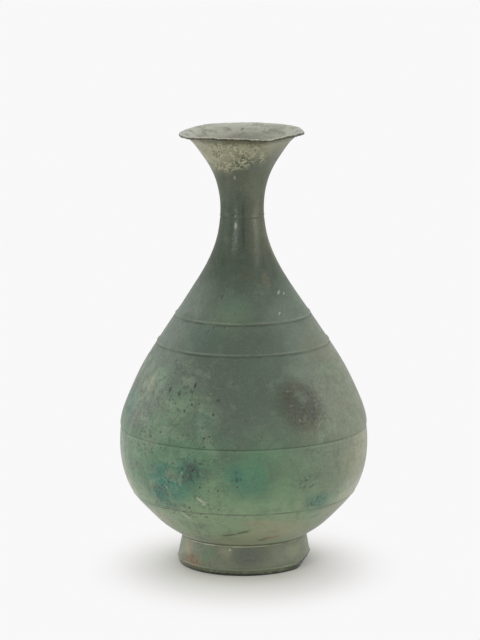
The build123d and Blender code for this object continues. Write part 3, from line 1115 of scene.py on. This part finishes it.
@dataclass
class UpperShell(Skin):
    """Lip, mouth, neck and shoulder: one thin turned wall that laps over the bowl at the belly seam."""

    knuckle: Span = (90.4, SEAM_Z + 2.6)
    knuckle_corner: tuple[Span, ...] = (
        (-WALL, 0.0), (-0.45, 0.0), (-0.28, 0.1), (-0.1, 0.5), (-0.02, 1.4))
    lip_radius: float = 45.4
    lip_under: float = 318.0
    neck_join: float = SEAM_Z + 160.0
    rim: float = 2.2
    left_droop: float = 1.7
    left_half_angle: float = 45.0
    right_droop: float = 1.3
    right_half_angle: float = 15.0
    sag: float = 1.5
    sag_azimuth: float = -68.0
    sag_half_angle: float = 17.0
    wall_wear: Wear = Wear(26, 0.5, 0.52)
    lip_waves: Wear = Wear(11, 1.0, 0.6)
    lip_nibbles: Wear = Wear(3, 0.9, 0.65)
    lip_front: float = 20.0
    crust: Wear = Wear(2.2, 0.7, 0.55)
    crust_height: float = 309.0
    crust_reach: float = 8.0
    crust_start: float = 296.0
    crust_azimuth: float = -105.0
    crust_half_angle: float = 42.0
    inner_stations: int = 84
    rim_stations: int = 9
    warp_stations: int = 160
    threads: list[Thread] = field(default_factory=lambda: [
        Thread(SHOULDER_THREADS[0], 0.6), Thread(SHOULDER_THREADS[1], 0.45),
        Thread(NECK_THREAD, 0.15, score=0.2)])
    side: SideLine = field(init=False)

    def __post_init__(self) -> None:
        """Draws the outer side line from the knuckle up to the underside of the lip."""
        rises = [(84.45, 21.4), (74.75, 42.4), (62.4, 62.6), (48.9, 82.9), (35.6, 103.0), (23.4, 124.6),
                 (15.85, 160.0), (20.2, 184.0), (32.1, 204.4), (41.0, 213.6)]
        points = [self.knuckle] + [(radius, SEAM_Z + rise) for radius, rise in rises]
        points.append((self.lip_radius - WALL / 2, self.lip_under))
        self.side = SideLine(points, (-0.12, 1.0), (1.0, 0.12))

    def build(self) -> bpy.types.Object:
        """Turns the wall, warps the lip and leaves the surface uneven.

        Returns:
            The finished skin.
        """
        outer = threaded(self.side, self.threads, self.side.length)
        inner = self.side.wall(np.linspace(self.side.length, 0, self.inner_stations), WALL)
        lip_centre = inner[0] - (0.0, self.rim / 2)
        lip = arc(lip_centre, lip_centre - (0.0, self.rim / 2), 180, self.rim_stations)
        corner = np.array([self.knuckle[0], SEAM_Z]) + np.array(self.knuckle_corner)
        piece = Lathe.turn("upper_shell_skin", np.concatenate([corner, outer, lip, inner]))
        self._warp(piece)
        self._weather(piece)
        return piece

    def lip_share(self, points: np.ndarray) -> np.ndarray:
        """Finds how much of the lip's warp each point takes.

        Args:
            points: the points, one row each.

        Returns:
            The share of each point: nothing at the neck and one at the edge of the lip.
        """
        join = self.side.place_at(self.neck_join)
        places = np.linspace(join, self.side.length, self.warp_stations)
        middle = self.side.wall(places, WALL / 2)
        share = np.zeros(len(points))
        high = np.flatnonzero(points[:, 2] > self.neck_join)
        across = np.hypot(points[high, 0], points[high, 1])[:, None] - middle[None, :, 0]
        up = points[high, 2][:, None] - middle[None, :, 1]
        nearest = places[np.argmin(across**2 + up**2, axis=1)]
        share[high] = ((nearest - join) / (self.side.length - join)) ** 3
        return share

    def _warp(self, piece: bpy.types.Object) -> None:
        """Lets the lip droop widely at the left, hook down at the right and sag at the front.

        Args:
            piece: the skin.
        """
        points = points_of(piece)
        left = azimuth_from(points, 180.0) / self.left_half_angle
        right = azimuth_from(points, 0.0) / self.right_half_angle
        front = azimuth_from(points, self.sag_azimuth) / self.sag_half_angle
        drop = self.left_droop * np.exp(-left**4) + self.right_droop * np.exp(-right**2)
        drop = (drop + self.sag * np.exp(-front**2)) * self.lip_share(points)
        Lathe.push(piece, drop / drop.max(), Push.UP, -float(drop.max()))

    def _weather(self, piece: bpy.types.Object) -> None:
        """Leaves broad hollows all over, a nibbled lip and crust under the front of the lip.

        Args:
            piece: the skin.
        """
        points = points_of(piece)
        lip = self.lip_share(points)
        Lathe.roughen(piece, np.ones(len(points)), self.wall_wear)
        front = eased(-points[:, 1], 0, self.lip_front)
        Lathe.roughen(piece, lip * front, self.lip_waves, Push.UP)
        edge = np.clip(lip * 1.6 - 0.6, 0, 1) * (0.35 + 0.65 * front)
        Lathe.roughen(piece, edge, self.lip_nibbles)
        radius = np.hypot(points[:, 0], points[:, 1])
        under = np.exp(-((points[:, 2] - self.crust_height) / self.crust_reach) ** 2)
        under = under * (radius > self.side.radius_at(self.crust_start))
        front = np.exp(-(azimuth_from(points, self.crust_azimuth) / self.crust_half_angle) ** 2)
        Lathe.roughen(piece, np.clip(under * front, 0, 1), self.crust)


@dataclass
class Bowl(Skin):
    """Belly and flat bottom: a turned wall with a lower line and an upstand inside the upper shell."""

    seat: Span = (46.5, FOOT_Z)
    seat_edge: float = 0.3
    upstand_inset: float = 1.9
    upstand_wall: float = 1.3
    upstand_stations: int = 5
    lap: float = 6.0
    film: float = 0.06
    inner_stations: int = 46
    inner_start: float = 0.2
    floor_inset: float = 1.0
    floor_stations: int = 16
    under_stations: int = 18
    wear: Wear = Wear(24, 0.5, 0.55)
    wear_top: Span = (2.0, 6.0)
    wear_foot: Span = (1.0, 4.0)
    threads: list[Thread] = field(default_factory=lambda: [Thread(LOWER_LINE, 0.35)])
    side: SideLine = field(init=False)

    def __post_init__(self) -> None:
        """Draws the outer side line from the edge of the flat seat up to the seam."""
        rises = [(58.0, 7.8), (72.8, 21.9), (80.1, 30.3), (86.9, 43.5), (90.75, 65.5), (90.0, 81.0)]
        points = [self.seat] + [(radius, FOOT_Z + rise) for radius, rise in rises]
        self.side = SideLine(points, (1.0, 0.67), (-0.12, 1.0))

    def build(self, shell: UpperShell) -> bpy.types.Object:
        """Turns the bowl and leaves its surface uneven.

        Args:
            shell: the upper shell that laps over it.

        Returns:
            The finished skin.
        """
        outer = threaded(self.side, self.threads, self.side.place_at(SEAM_Z - self.film))
        rise = np.linspace(0, shell.side.place_at(SEAM_Z + self.lap), self.upstand_stations)
        stand = [[shell.knuckle[0] - self.upstand_inset, SEAM_Z - self.film]]
        stand_out = shell.side.wall(rise, self.upstand_inset)
        stand_in = shell.side.wall(rise[::-1], self.upstand_inset + self.upstand_wall)
        joggle = self.side.place_at(SEAM_Z - self.lap)
        floor = FOOT_Z + WALL
        inner = self.side.wall(np.linspace(joggle, 0, self.inner_stations), WALL)
        inner = inner[inner[:, 1] > floor + self.inner_start]
        inside = level_points(np.linspace(inner[-1, 0] - self.floor_inset, 0, self.floor_stations), floor)
        under = level_points(np.linspace(0, self.seat[0] - self.seat_edge, self.under_stations), FOOT_Z)
        outline = np.concatenate([outer, stand, stand_out, stand_in, inner, inside, under])
        piece = Lathe.turn("bowl_skin", outline)
        heights = points_of(piece)[:, 2]
        below_seam = eased(SEAM_Z - heights, *self.wear_top)
        Lathe.roughen(piece, below_seam * eased(heights - FOOT_Z, *self.wear_foot), self.wear)
        return piece


@dataclass
class FootRing(Skin):
    """The flared foot under the bowl, with its bottom edge bent in and up on the right."""

    wall: float = 2.4
    top: Span = (45.9, FOOT_Z - 0.3)
    waist: Span = (47.4, 13.0)
    line: Span = (49.4, FOOT_LINE)
    bottom: Span = (48.2, 0.0)
    score_depth: float = 0.3
    score_place: float = 0.9
    score_width: float = 0.5
    fine_stations: tuple[float, float, int] = (0.0, 3.0, 12)
    plain_start: float = 3.6
    plain_stations: int = 18
    inner_stations: int = 14
    bottom_edge: tuple[Span, ...] = ((-wall, 0), (0.5 - wall, 0), (-0.7, 0), (-0.2, 0.15), (0.0, 0.6))
    band: tuple[float, ...] = (0.3, 0.5, 0.7, 0.85)
    bend_azimuth: float = -6.0
    bend_half_angle: float = 36.0
    bend_in: tuple[float, ...] = (3.0, 1.0, 0.3, 0.0)
    bend_up: tuple[float, ...] = (4.5, 3.0, 0.0, 0.0)
    wear: Wear = Wear(13, 0.5, 0.6)
    wear_foot: Span = (1.0, 4.0)
    side: SideLine = field(init=False)

    def __post_init__(self) -> None:
        """Draws the outer side line from the bottom edge up to the joint."""
        self.side = SideLine([self.bottom, self.line, self.waist, self.top], (0.26, 1.0), (-0.1, 1.0))

    def build(self) -> bpy.types.Object:
        """Turns the foot, scores its line and bends its edge.

        Returns:
            The finished skin.
        """
        flare = SideLine([self.line, self.waist, self.top], (-0.42, 1.0), (-0.06, 1.0))
        plain = np.linspace(self.plain_start, flare.length, self.plain_stations)
        places = np.concatenate([np.linspace(*self.fine_stations), plain])
        score = self.score_depth * np.exp(-((places - self.score_place) / self.score_width) ** 2)
        outer = flare.wall(places, score)
        inner = flare.wall(np.linspace(flare.length, 0, self.inner_stations), self.wall)
        low = np.array(self.bottom)
        edge = [low + step for step in self.bottom_edge]
        band = [low + (np.array(self.line) - low) * share for share in self.band]
        piece = Lathe.turn("foot_ring_skin", np.concatenate([edge, band, outer, inner]))
        self._bend(piece)
        Lathe.roughen(piece, eased(points_of(piece)[:, 2], *self.wear_foot), self.wear)
        return piece

    def _bend(self, piece: bpy.types.Object) -> None:
        """Pushes the bottom edge in and up on the right, as after a knock.

        Args:
            piece: the skin.
        """
        points = points_of(piece)
        levels = [height for _, height in (self.bottom, self.line, self.waist, self.top)]
        away = np.clip(np.abs(azimuth_from(points, self.bend_azimuth)) / self.bend_half_angle, 0, 1)
        window = np.cos(away * math.pi / 2) ** 2
        inward = window * np.interp(points[:, 2], levels, self.bend_in)
        upward = window * np.interp(points[:, 2], levels, self.bend_up)
        turn = math.radians(self.bend_azimuth)
        Lathe.push(piece, inward / self.bend_in[0], Push.ACROSS, -self.bend_in[0] * math.cos(turn))
        Lathe.push(piece, inward / self.bend_in[0], Push.ALONG, -self.bend_in[0] * math.sin(turn))
        Lathe.push(piece, upward / self.bend_up[0], Push.UP, self.bend_up[0])


@dataclass
class FootSolder(Skin):
    """The solder washer between bowl and foot, with an uneven fillet in the corner outside."""

    outline: tuple[Span, ...] = (
        (43.5, 21.9), (45.7, 21.9), (45.75, 20.6), (46.1, 20.9), (46.5, 21.4), (46.9, 21.95), (47.4, 22.5),
        (47.9, 23.0), (48.3, 23.3), (47.6, 22.9), (46.5, 22.2), (43.5, 22.2))
    bead: Span = (45.8, 0.5)
    wear: Wear = Wear(7, 0.5, 0.6)

    def build(self) -> bpy.types.Object:
        """Turns the washer and leaves its fillet lumpy.

        Returns:
            The finished skin.
        """
        piece = Lathe.turn("foot_solder_skin", np.array(self.outline))
        points = points_of(piece)
        radii = np.hypot(points[:, 0], points[:, 1])
        Lathe.roughen(piece, eased(radii, *self.bead), self.wear)
        return piece


@dataclass(frozen=True)
class Softbox:
    """A soft rectangular lamp.

    Attributes:
        name: its name.
        place: where it hangs, in millimetres.
        size: its width and height in millimetres.
        power: its power in watts.
    """

    name: str
    place: Place
    size: Span
    power: float

    def build(self, aim: Place) -> None:
        """Hangs the lamp.

        Args:
            aim: the point that it faces, in millimetres.
        """
        data = bpy.data.lights.new(self.name, "AREA")
        data.shape = "RECTANGLE"
        data.size = self.size[0] * MM
        data.size_y = self.size[1] * MM
        data.energy = self.power
        lamp = bpy.data.objects.new(self.name, data)
        bpy.context.scene.collection.objects.link(lamp)
        lamp.location = Vector(self.place) * MM
        towards = Vector(aim) * MM - lamp.location
        lamp.rotation_euler = towards.to_track_quat("-Z", "Y").to_euler()


@dataclass
class Studio:
    """Pale sweep, soft lights and the camera."""

    camera_place: Place = (-2.1, -2378.7, 625.9)
    pitch: float = 10.616
    roll: float = -0.404
    focal_pixels: float = 3316.4
    frame_height: int = 640
    sensor: float = 36.0
    paper: Colour = (0.93, 0.91, 0.865, 1.0)
    backdrop: Colour = (0.95, 0.94, 0.95, 1.0)
    white: Colour = (1.0, 1.0, 1.0, 1.0)
    surround: float = 0.46
    floor_size: float = 16.0
    floor_middle: Place = (0.0, 2.0, 0.0)
    shadow: tuple[Place, Place, float] = ((0, -20, 0), (136, 168, 1000), 0.75)
    contact: tuple[Place, Place, float] = ((0, -2, 0), (72, 100, 1000), 0.6)
    aim: Place = (0, 0, 150)
    lamps: tuple[Softbox, ...] = (
        Softbox("strip_left", (-900, -1450, 420), (240, 1100), 5.0),
        Softbox("side_left", (-1600, 500, 650), (1200, 1500), 9.5),
        Softbox("side_right", (1600, -200, 700), (1400, 1600), 12.0),
        Softbox("top_back", (0, 600, 1700), (1500, 1300), 8.0),
    )

    def build(self) -> None:
        """Sets up the whole studio."""
        bpy.context.scene.view_settings.view_transform = "Standard"
        self._floor()
        self._surround()
        for lamp in self.lamps:
            lamp.build(self.aim)
        self._camera()

    def _floor(self) -> None:
        """A wide pale floor that turns to plain backdrop white away from the bottle."""
        bpy.ops.object.select_all(action="DESELECT")
        bpy.ops.mesh.primitive_plane_add(size=self.floor_size, location=self.floor_middle)
        floor = bpy.context.active_object
        floor.name = "studio_floor"
        bpy.ops.object.transform_apply(location=True, rotation=True, scale=True)
        brush = Brush("studio_paper")
        seen = brush.seen()
        shadow, contact = [brush.spot(brush.place, middle, (0, 0), size, soft)
                           for middle, size, soft in (self.shadow, self.contact)]
        far = brush.share((shadow, 0.0, 1.0, 1.0, 0.3), (contact, 0.0, 1.0, 1.0, 0.0), seen)
        paper = brush.node("ShaderNodeBsdfDiffuse", {"Color": self.paper})
        glow = brush.node("ShaderNodeEmission", {"Color": self.backdrop})
        brush.blend(far, paper, glow, "ShaderNodeOutputMaterial")
        floor.data.materials.append(brush.material)

    def _surround(self) -> None:
        """A white surround that lights the bottle softly from all round."""
        world = bpy.data.worlds.new("white_surround")
        bpy.context.scene.world = world
        world.use_nodes = True
        nodes = Nodes(world.node_tree)
        dim = nodes.node("ShaderNodeBackground", {"Color": self.white, "Strength": self.surround})
        bright = nodes.node("ShaderNodeBackground", {"Color": self.backdrop})
        nodes.blend(nodes.seen(), dim, bright, "ShaderNodeOutputWorld")

    def _camera(self) -> None:
        """Places the camera at the photograph's viewing angle."""
        data = bpy.data.cameras.new("camera")
        data.sensor_width = self.sensor
        data.lens = self.focal_pixels * self.sensor / self.frame_height
        camera = bpy.data.objects.new("camera", data)
        bpy.context.scene.collection.objects.link(camera)
        camera.location = Vector(self.camera_place) * MM
        tilt = Matrix.Rotation(math.radians(90 - self.pitch), 3, "X")
        camera.rotation_euler = (tilt @ Matrix.Rotation(math.radians(self.roll), 3, "Z")).to_euler()
        bpy.context.scene.camera = camera


SHELL_MARKS = [
    # This broad shade wash down the front middle is painted shade.
    *marks(Bloom.SHADE, Edge.WASH, (2, 150, 42, 62, 0.7)),
    *marks(Bloom.SHADE, Edge.CLOUD, (-62, 122, 26, 17, 0.8), (12, 297, 17, 9, 0.7)),
    *marks(Bloom.MOSS, Edge.WASH, (-36, 126, 34, 26, 0.85), (-62, 140, 24, 30, 0.7),
           (-8, 190, 26, 22, 0.6), (-22, 126, 20, 20, 0.8), (150, 134, 32, 26, 0.7)),
    *marks(Bloom.MALACHITE, Edge.CLOUD, (-44, 116, 26, 15, 0.55), (-34, 133, 22, 20, 0.5),
           (-52, 148, 16, 14, 0.4), (122, 122, 26, 15, 0.5)),
    *marks(Bloom.TAN, Edge.CLOUD, (84, 236, 7, 38, 0.2)),
    *marks(Bloom.TAN, Edge.STAIN, (32.6, 214, 5, 8, 0.3), (-59.5, 141, 4, 10, 0.9),
           (-57, 132, 3, 5, 0.45), (-45, 303, 14, 12, 0.5), (-20, 306, 16, 9, 0.5)),
    *marks(Bloom.OLIVE, Edge.STAIN, (8.7, 219, 7, 8, 0.4), (-35, 314, 8, 4, 0.8),
           (-12, 315.5, 16, 4, 0.85), (16, 315, 16, 4.5, 0.85), (-84, 316, 9, 3, 0.7)),
    *marks(Bloom.SLATE, Edge.STAIN, (176, 309, 20, 6, 0.4)),
    *marks(Bloom.TEAL, Edge.CLOUD, (-76, 124, 22, 16, 0.55), (-32, 177, 26, 16, 0.12),
           (-8, 199, 18, 13, 0.12), (166, 116, 16, 10, 0.4)),
    *marks(Bloom.TEAL, Edge.STAIN, (-20, 122, 12, 14, 0.3)),
    *marks(Bloom.BROWN, Edge.CLOUD, (28, 133, 24, 25, 0.9), (33, 136, 18, 18, 0.9),
           (36, 125, 17, 20, 0.85), (29, 122, 14, 11, 0.6), (204, 140, 20, 16, 0.55)),
    *marks(Bloom.BROWN, Edge.STAIN, (28, 118, 12, 9, 0.5), (33, 133, 16, 14, 0.9), (28, 139, 13, 11, 0.8)),
    *marks(Bloom.BROWN, Edge.PEPPER, (32, 131, 26, 26, 0.7)),
    # The two pale specks on the neck, at -15 and -17 degrees, are painted highlight; the other pale specks
    # are crust.
    *marks(Bloom.PALE, Edge.SPECK, (-30.2, 147.6, 4.4, 4.8, 0.15), (24.2, 141.4, 1.8, 1, 0.18),
           (28, 138, 2.6, 0.8, 0.15, -15), (24.7, 131.5, 2.8, 1.1, 0.15),
           (27.6, 121.5, 1.6, 1.3, 0.25, 40), (39, 129, 1.1, 3.2, 0.12), (45.5, 205, 2.8, 1, 0.6, -35),
           (52.7, 203.7, 2, 0.8, 0.5, -35), (35.8, 191.6, 2, 0.8, 0.45, -40), (150, 315, 3.5, 2.4, 0.6),
           (140, 313, 2.5, 2.2, 0.6), (205, 314, 5, 2.3, 0.5), (-15, 287.7, 0.9, 2.4, 0.4),
           (-17, 252, 1.3, 3, 0.35), (172, 150, 3.2, 1, 0.5, 30)),
    *marks(Bloom.PALE, Edge.PEPPER, (38, 118.5, 6, 4.5, 0.45)),
    # The dark clouds at 40 and -64 degrees on the neck are painted shade over lamp reflections; the first
    # is a real stain.
    *marks(Bloom.SOOT, Edge.CLOUD, (30, 136, 18, 16, 0.25), (40, 215, 14, 22, 0.3),
           (-64, 232, 8, 36, 0.3)),
    # The stain at -6 degrees and 274 mm on the neck is the painted dark edge of a reflection; the others
    # are real stains.
    *marks(Bloom.SOOT, Edge.STAIN, (33, 134, 10, 9, 0.5), (34, 137, 6, 5, 0.5), (36, 125, 5, 6, 0.45),
           (29, 124, 3, 4, 0.35), (25, 138, 3, 3, 0.35), (-80, 122, 14, 12, 0.35),
           (-44, 132.5, 6, 2, 0.6), (-6, 274, 2.6, 4, 0.6), (200, 133, 4, 3, 0.5)),
    # The tall speck at 3 degrees and 252 mm on the neck is the painted dark edge of a reflection; the
    # others are real specks.
    *marks(Bloom.SOOT, Edge.SPECK, (38, 131, 1.2, 1.2, 0.5), (34, 119, 1.2, 1.4, 0.5),
           (-42.6, 140.5, 1.5, 2.8, 1), (-35.9, 138.8, 1.6, 2.6, 1), (-27.2, 145.3, 1.5, 2.4, 1),
           (-13, 136.5, 2.4, 1.6, 0.7), (61.4, 132.8, 1.1, 1.1, 1), (179, 314.5, 2.2, 2.2, 1),
           (3, 252, 1.4, 22, 0.8), (118, 142, 1.4, 2.4, 0.9)),
    *marks(Bloom.SOOT, Edge.PEPPER, (37, 121, 7, 6, 0.7), (-43, 133, 13, 5, 0.9), (-66, 134, 8, 12, 0.6),
           (-30, 142, 12, 6, 0.5), (-54, 112, 14, 7, 0.6), (32, 130, 16, 16, 0.5),
           (160, 128, 18, 12, 0.6)),
]
BOWL_MARKS = [
    *marks(Bloom.SHADE, Edge.WASH, (-8, 96, 16, 12, 0.6)),
    *marks(Bloom.SHADE, Edge.STAIN, (-38, 56.5, 9, 5, 0.8)),
    *marks(Bloom.MOSS, Edge.WASH, (24, 90, 30, 26, 0.85)),
    *marks(Bloom.LEAF, Edge.CLOUD, (-13, 76, 13, 17, 0.7), (20, 72, 18, 16, 0.35), (36, 47, 26, 12, 0.7),
           (52, 58, 16, 12, 0.6), (-10, 66, 14, 9, 0.5), (-60, 94, 14, 12, 0.35), (172, 66, 20, 14, 0.5)),
    *marks(Bloom.MALACHITE, Edge.STAIN, (7.5, 80, 5, 13, 0.7)),
    # The beige marks near the bowl's sides, from 55 to 78 degrees either way, are patina partly painted as
    # light on the edges.
    *marks(Bloom.BEIGE, Edge.WASH, (66, 84, 30, 30, 0.6), (55, 52, 30, 18, 0.6), (18, 42, 34, 13, 0.75),
           (-78, 60, 22, 26, 0.8), (-54, 42, 24, 10, 0.9), (200, 48, 32, 14, 0.65)),
    *marks(Bloom.BEIGE, Edge.CLOUD, (72, 94, 24, 17, 0.75), (25, 37, 36, 10, 0.8)),
    *marks(Bloom.BEIGE, Edge.STAIN, (-33, 67.7, 8, 7, 0.35)),
    *marks(Bloom.TAN, Edge.STAIN, (6, 46, 17, 5, 0.6)),
    *marks(Bloom.OLIVE, Edge.SPECK, (-10, 34.2, 8, 1.2, 0.9, -12), (-1, 37.2, 8, 1.3, 0.9, -18),
           (12.8, 28.6, 4, 1.5, 0.7)),
    *marks(Bloom.TEAL, Edge.CLOUD, (-38, 74, 30, 23, 0.8), (-27, 85, 19, 15, 0.7), (-44, 65, 18, 15, 0.9),
           (41, 60, 21, 12, 0.6), (-36, 80, 12, 11, 0.9), (-47, 61, 14, 12, 0.9), (-3, 84, 12, 13, 0.45),
           (2, 80, 22, 20, 0.25), (148, 74, 26, 18, 0.6), (216, 82, 18, 13, 0.5)),
    *marks(Bloom.TEAL, Edge.STAIN, (-25, 88, 8, 6, 0.5), (-41, 80, 15, 12, 0.7), (-34, 72, 14, 12, 0.6),
           (-46, 63, 11, 9, 0.6), (-43, 59.5, 6, 4, 0.7), (2.5, 81, 15, 15, 0.35, 0, 0.85),
           (35.3, 61, 8, 5, 0.6)),
    *marks(Bloom.RUST, Edge.SPECK, (17, 30.5, 6, 1.8, 0.75), (23, 31.5, 3.5, 1.5, 0.6),
           (195, 31, 7, 2, 0.6)),
    # Pale clouds on the bowl's left and right sides: painted reflection on the grazing edges.
    *marks(Bloom.PALE, Edge.CLOUD, (-78, 58, 22, 24, 0.5), (76, 58, 27, 24, 0.55), (62, 62, 22, 16, 0.35),
           (-76, 82, 17, 17, 0.35)),
    *marks(Bloom.PALE, Edge.SPECK, (-21.5, 64.9, 3.8, 1.5, 0.75, 38), (-19.3, 62.2, 3.4, 1.3, 0.7, -30),
           (-33.6, 51.5, 2.6, 1.8, 0.75, 50), (-31.8, 48.6, 4.6, 1.5, 0.8, 48),
           (-29.5, 84, 2.4, 1, 0.5, -60), (-39, 72, 2.4, 0.9, 0.5, 40), (-43, 59, 1.8, 1, 0.5),
           (165, 61, 3.4, 1, 0.7, 40)),
    *marks(Bloom.PALE, Edge.PEPPER, (-35, 78, 14, 9, 0.18), (-46, 61, 9, 7, 0.4)),
    *marks(Bloom.SOOT, Edge.CLOUD, (-26, 84, 14, 11, 0.28), (-44, 64, 13, 10, 0.15),
           (-54, 76, 10, 15, 0.2)),
    *marks(Bloom.SOOT, Edge.STAIN, (-23.5, 88, 6, 5, 0.5), (-26, 83, 4, 5, 0.45), (-45, 62, 5, 6, 0.4),
           (34, 58, 5, 2.4, 0.6), (37, 62, 2, 5, 0.5), (28, 78, 9, 2.5, 0.3), (152, 77, 6, 5, 0.4)),
    *marks(Bloom.SOOT, Edge.SPECK, (-20, 92.3, 1.8, 1, 0.8), (-21.5, 84, 1.2, 2, 0.6),
           (-28, 79, 1.6, 1.2, 0.55), (-37, 76, 1.4, 1, 0.6), (-41, 73, 1.8, 1.2, 0.55),
           (-50.7, 97.3, 2, 1.4, 0.6), (-46.4, 95.5, 1.6, 1.6, 0.6), (-55, 99, 1.4, 1.2, 0.5),
           (-3.4, 81.5, 1.6, 2.4, 0.6), (188, 90, 1.8, 1.2, 0.7)),
    *marks(Bloom.SOOT, Edge.PEPPER, (-54, 97, 15, 7, 0.85), (-26, 85, 13, 11, 0.8),
           (-43, 67, 15, 12, 0.7), (-62, 80, 10, 14, 0.6), (30, 76, 14, 8, 0.5), (37, 60, 12, 6, 0.6),
           (-3, 82, 5, 8, 0.6), (150, 80, 14, 12, 0.6)),
]
FOOT_MARKS = [
    *marks(Bloom.MALACHITE, Edge.CLOUD, (-35, 15, 8, 9, 0.5)),
    *marks(Bloom.BEIGE, Edge.CLOUD, (-18, 17, 9, 6, 0.5), (50, 15, 12, 7, 0.4)),
    *marks(Bloom.TAN, Edge.CLOUD, (-64, 14, 13, 11, 0.8)),
    *marks(Bloom.OLIVE, Edge.CLOUD, (-72, 3, 14, 4, 0.7), (38, 5, 16, 5, 0.5)),
    *marks(Bloom.SLATE, Edge.CLOUD, (4, 14, 20, 14, 0.8), (202, 14, 16, 9, 0.6)),
    *marks(Bloom.BROWN, Edge.CLOUD, (-58, 6, 14, 7, 0.6)),
    *marks(Bloom.RUST, Edge.CLOUD, (-54, 7.5, 12, 7, 0.7), (-68, 5, 12, 6, 0.45), (158, 7, 11, 5, 0.5)),
    *marks(Bloom.RUST, Edge.STAIN, (-45, 6.5, 7, 4, 0.6)),
    *marks(Bloom.PALE, Edge.SPECK, (-13.2, 18.7, 1.2, 1, 0.9)),
    *marks(Bloom.SOOT, Edge.SPECK, (-46, 7.6, 1.5, 1.2, 0.7), (-49, 6.2, 1.3, 0.9, 0.6)),
]


def main() -> None:
    """Builds the bottle's skins, dresses them and sets up the studio."""
    logging.basicConfig(level=logging.INFO, format="%(name)s %(message)s")
    shell = UpperShell()
    bowl = Bowl()
    foot = FootRing()
    washer = FootSolder()
    patina = PatinaFinish()
    solder = SolderFinish().material()
    shell_bronze = patina.material("old_bronze_shell", shell.side, SHELL_MARKS, patina.thin_dust)
    bowl_bronze = patina.material("old_bronze_bowl", bowl.side, BOWL_MARKS, patina.dust)
    foot_bronze = patina.material("old_bronze_foot", foot.side, FOOT_MARKS, patina.dust)
    shell.dress(shell.build(), "upper_shell", "bronze", shell_bronze)
    bowl.dress(bowl.build(shell), "bowl", "bronze", bowl_bronze)
    foot.dress(foot.build(), "foot_ring", "bronze", foot_bronze)
    washer.dress(washer.build(), "foot_solder", "solder", solder)
    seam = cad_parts["belly_solder"]
    seam.data.materials.clear()
    seam.data.materials.append(solder)
    LOG.info("belly_solder: the CAD film in the lap, dressed as solder")
    Studio().build()


if __name__ == "__main__":
    main()
